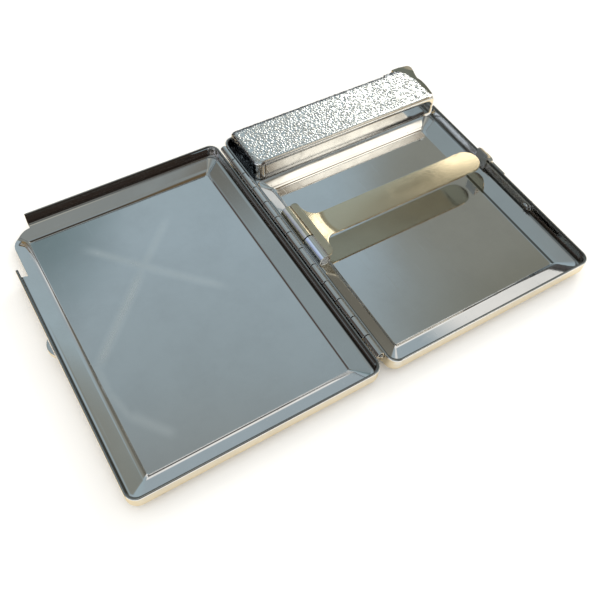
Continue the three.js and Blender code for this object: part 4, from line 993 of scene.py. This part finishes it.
# Soft patches over it: azimuth, height, outer and inner edge in degrees, and colour
PATCHES = (
    (0, 44, 12, 3, (0.16, 0.22, 0.23)),
    (-32, 48, 26, 14, (0.27, 0.32, 0.33)),
    (-27, 35, 14, 6, (0.17, 0.17, 0.15)),
    (70, 48, 20, 5, (0.21, 0.21, 0.17)),
    (66, 22, 13, 5, (0.25, 0.25, 0.21)),
    (62, 12, 13, 8, (0.16, 0.15, 0.12)),
    (-88, 32, 25, 16, (0.11, 0.105, 0.075)),
    (100, 88, 12, 4, (0.45, 0.44, 0.38)),
    (95, 72, 10, 4, (0.15, 0.155, 0.155)),
    (51, 43, 10, 3, (0.25, 0.255, 0.22)),
    (180, 20, 31, 17, (0.05, 0.036, 0.028)),
    (170, 46, 19, 11, (0.06, 0.05, 0.04)),
    (-62, 10, 34, 18, (0.08, 0.06, 0.05)),
    (136, 34, 15, 7, (0.42, 0.29, 0.13)),
    (137, 51, 18, 12, (0.14, 0.10, 0.055)),
    (37, 19, 9, 5, (0.86, 0.84, 0.79)),
    (-104, 18, 20, 12, (1.1, 1.17, 1.25)),
)
# A bright strip between two places, and two bright discs
STRIP = (131, 60), (119, 52)
DISCS = (142, 42.2, 5.9, 4.3), (151, 9.2, 7.5, 5)
BRIGHT = (1.5, 1.4, 1.2)


class Sky:
    """The world's nodes: even white light on everything, and a sky of its own in the metal."""

    def __init__(self):
        world = bpy.data.worlds.new("sky")
        bpy.context.scene.world = world
        world.use_nodes = True
        self.tree = world.node_tree
        self.tree.nodes.clear()
        self.where = self.node("TexCoord").outputs["Generated"]

    def node(self, kind, *inputs, **settings):
        made = self.tree.nodes.new("ShaderNode" + kind)
        for key, value in settings.items():
            setattr(made, key, value)
        for socket, value in zip(made.inputs, inputs):
            self.put(value, socket)
        return made

    def put(self, value, socket):
        if isinstance(value, bpy.types.NodeSocket):
            self.tree.links.new(value, socket)
        else:
            socket.default_value = value

    def math(self, how, *values, **settings):
        return self.node("Math", *values, operation=how, **settings).outputs[0]

    def mix(self, factor, a, b):
        made = self.node("Mix", factor, data_type="RGBA")
        for socket, value in ((made.inputs[6], a), (made.inputs[7], b)):
            self.put(value if isinstance(value, bpy.types.NodeSocket) else (*value, 1), socket)
        return made.outputs[2]

    def toned(self):
        """The colour by the height."""
        split = self.node("SeparateXYZ", self.where)
        made = self.node("ValToRGB", split.outputs["Z"])
        (low, first), *between, (high, last) = SKY
        ends = made.color_ramp.elements
        ends[0].position, ends[0].color = low, (*first, 1)
        ends[1].position, ends[1].color = high, (*last, 1)
        for at, color in between:
            ends.new(at).color = (*color, 1)
        return made.outputs[0]

    def near(self, axis, outer, inner, aside=False):
        """1 within inner degrees of the axis, or of the plane square to it, and 0 past outer degrees."""
        value = self.node("VectorMath", self.where, axis, operation="DOT_PRODUCT").outputs["Value"]
        if aside:
            value = self.math("ABSOLUTE", value)
            limits = math.sin(math.radians(inner)), math.sin(math.radians(outer)), 1, 0
        else:
            limits = math.cos(math.radians(outer)), math.cos(math.radians(inner)), 0, 1
        return self.node("MapRange", value, *limits, interpolation_type="SMOOTHSTEP").outputs["Result"]

    def build(self):
        color = self.toned()
        for azimuth, height, outer, inner, tint in PATCHES:
            color = self.mix(self.near(toward(azimuth, height), outer, inner), color, tint)
        start, stop = toward(*STRIP[0]), toward(*STRIP[1])
        middle, across = (start + stop).normalized(), start.cross(stop).normalized()
        strip = self.math("MULTIPLY", self.near(middle, 8.5, 5), self.near(across, 5.2, 3.6, True))
        color = self.mix(strip, color, BRIGHT)
        for azimuth, height, outer, inner in DISCS:
            color = self.mix(self.near(toward(azimuth, height), outer, inner), color, BRIGHT)
        # Plain and even for all but the mirror image, and white for the camera
        path = self.node("LightPath").outputs
        direct = self.math("SUBTRACT", path["Is Glossy Ray"], path["Diffuse Depth"], use_clamp=True)
        light = self.mix(direct, (1.13, 1.12, 1.09), color)
        shade = self.node("Background", self.mix(path["Is Camera Ray"], light, (1, 1, 1)))
        self.node("OutputWorld", shade.outputs[0])


def lamp(name, at, aim, shape, size, power, color):
    data = bpy.data.lights.new(name, "AREA")
    data.shape, data.size, data.energy, data.color = shape, size, power, color
    obj = bpy.data.objects.new(name, data)
    bpy.context.scene.collection.objects.link(obj)
    obj.location = at
    obj.rotation_mode = "QUATERNION"
    obj.rotation_quaternion = (at - aim).to_track_quat("Z", "Y")
    return obj


def card(at, aim, size, glow, color, *pieces):
    """A lit disc that shows in the metal of some pieces."""
    obj = lamp("card", at, aim, "DISK", size, glow * math.pi * math.pi * size * size / 4, color)
    lit = bpy.data.collections.new("lit_" + pieces[0].name)
    for piece in pieces:
        lit.objects.link(piece)
    obj.light_linking.receiver_collection = lit


table_top()
Sky().build()
key = lamp("key", toward(62, 38) * 0.9, Vector((0, 0, 0)), "SQUARE", 0.28, 1.3, (1.0, 0.95, 0.86))
key.visible_glossy = False
card(row((388, 302, 304)), row((69, ARM_Y, 9.2)), 0.125, 2.3, (1.0, 0.95, 0.82), arm)
card(row((-293, 341, 287)), row((BARREL_X, ARM_Y, 8)), 0.48, 0.66, (0.42, 0.58, 1.0), arm, bracket)
card(row((262, 280, 206)), row((78, 96, 11)), 0.16, 2.8, (1.0, 0.98, 0.90), sleeve)


def camera():
    """The camera of the photograph: where it stands and which way it looks."""
    eye = bpy.data.cameras.new("camera")
    eye.sensor_width = 36
    eye.lens = 44.24
    eye.clip_start = 0.005
    stand = Vector((-0.1236, -0.12327, 0.18857))
    forward = Vector((0.33072, 0.46817, -0.81941)).normalized()
    right = Vector((0.85401, -0.51797, 0.04874)).normalized()
    up = right.cross(forward).normalized()
    obj = bpy.data.objects.new("camera", eye)
    bpy.context.scene.collection.objects.link(obj)
    turn = Matrix((right, up, -forward)).transposed().to_4x4()
    obj.matrix_world = Matrix.Translation(stand) @ turn
    return obj


scene = bpy.context.scene
scene.view_settings.view_transform = "Standard"
scene.camera = camera()
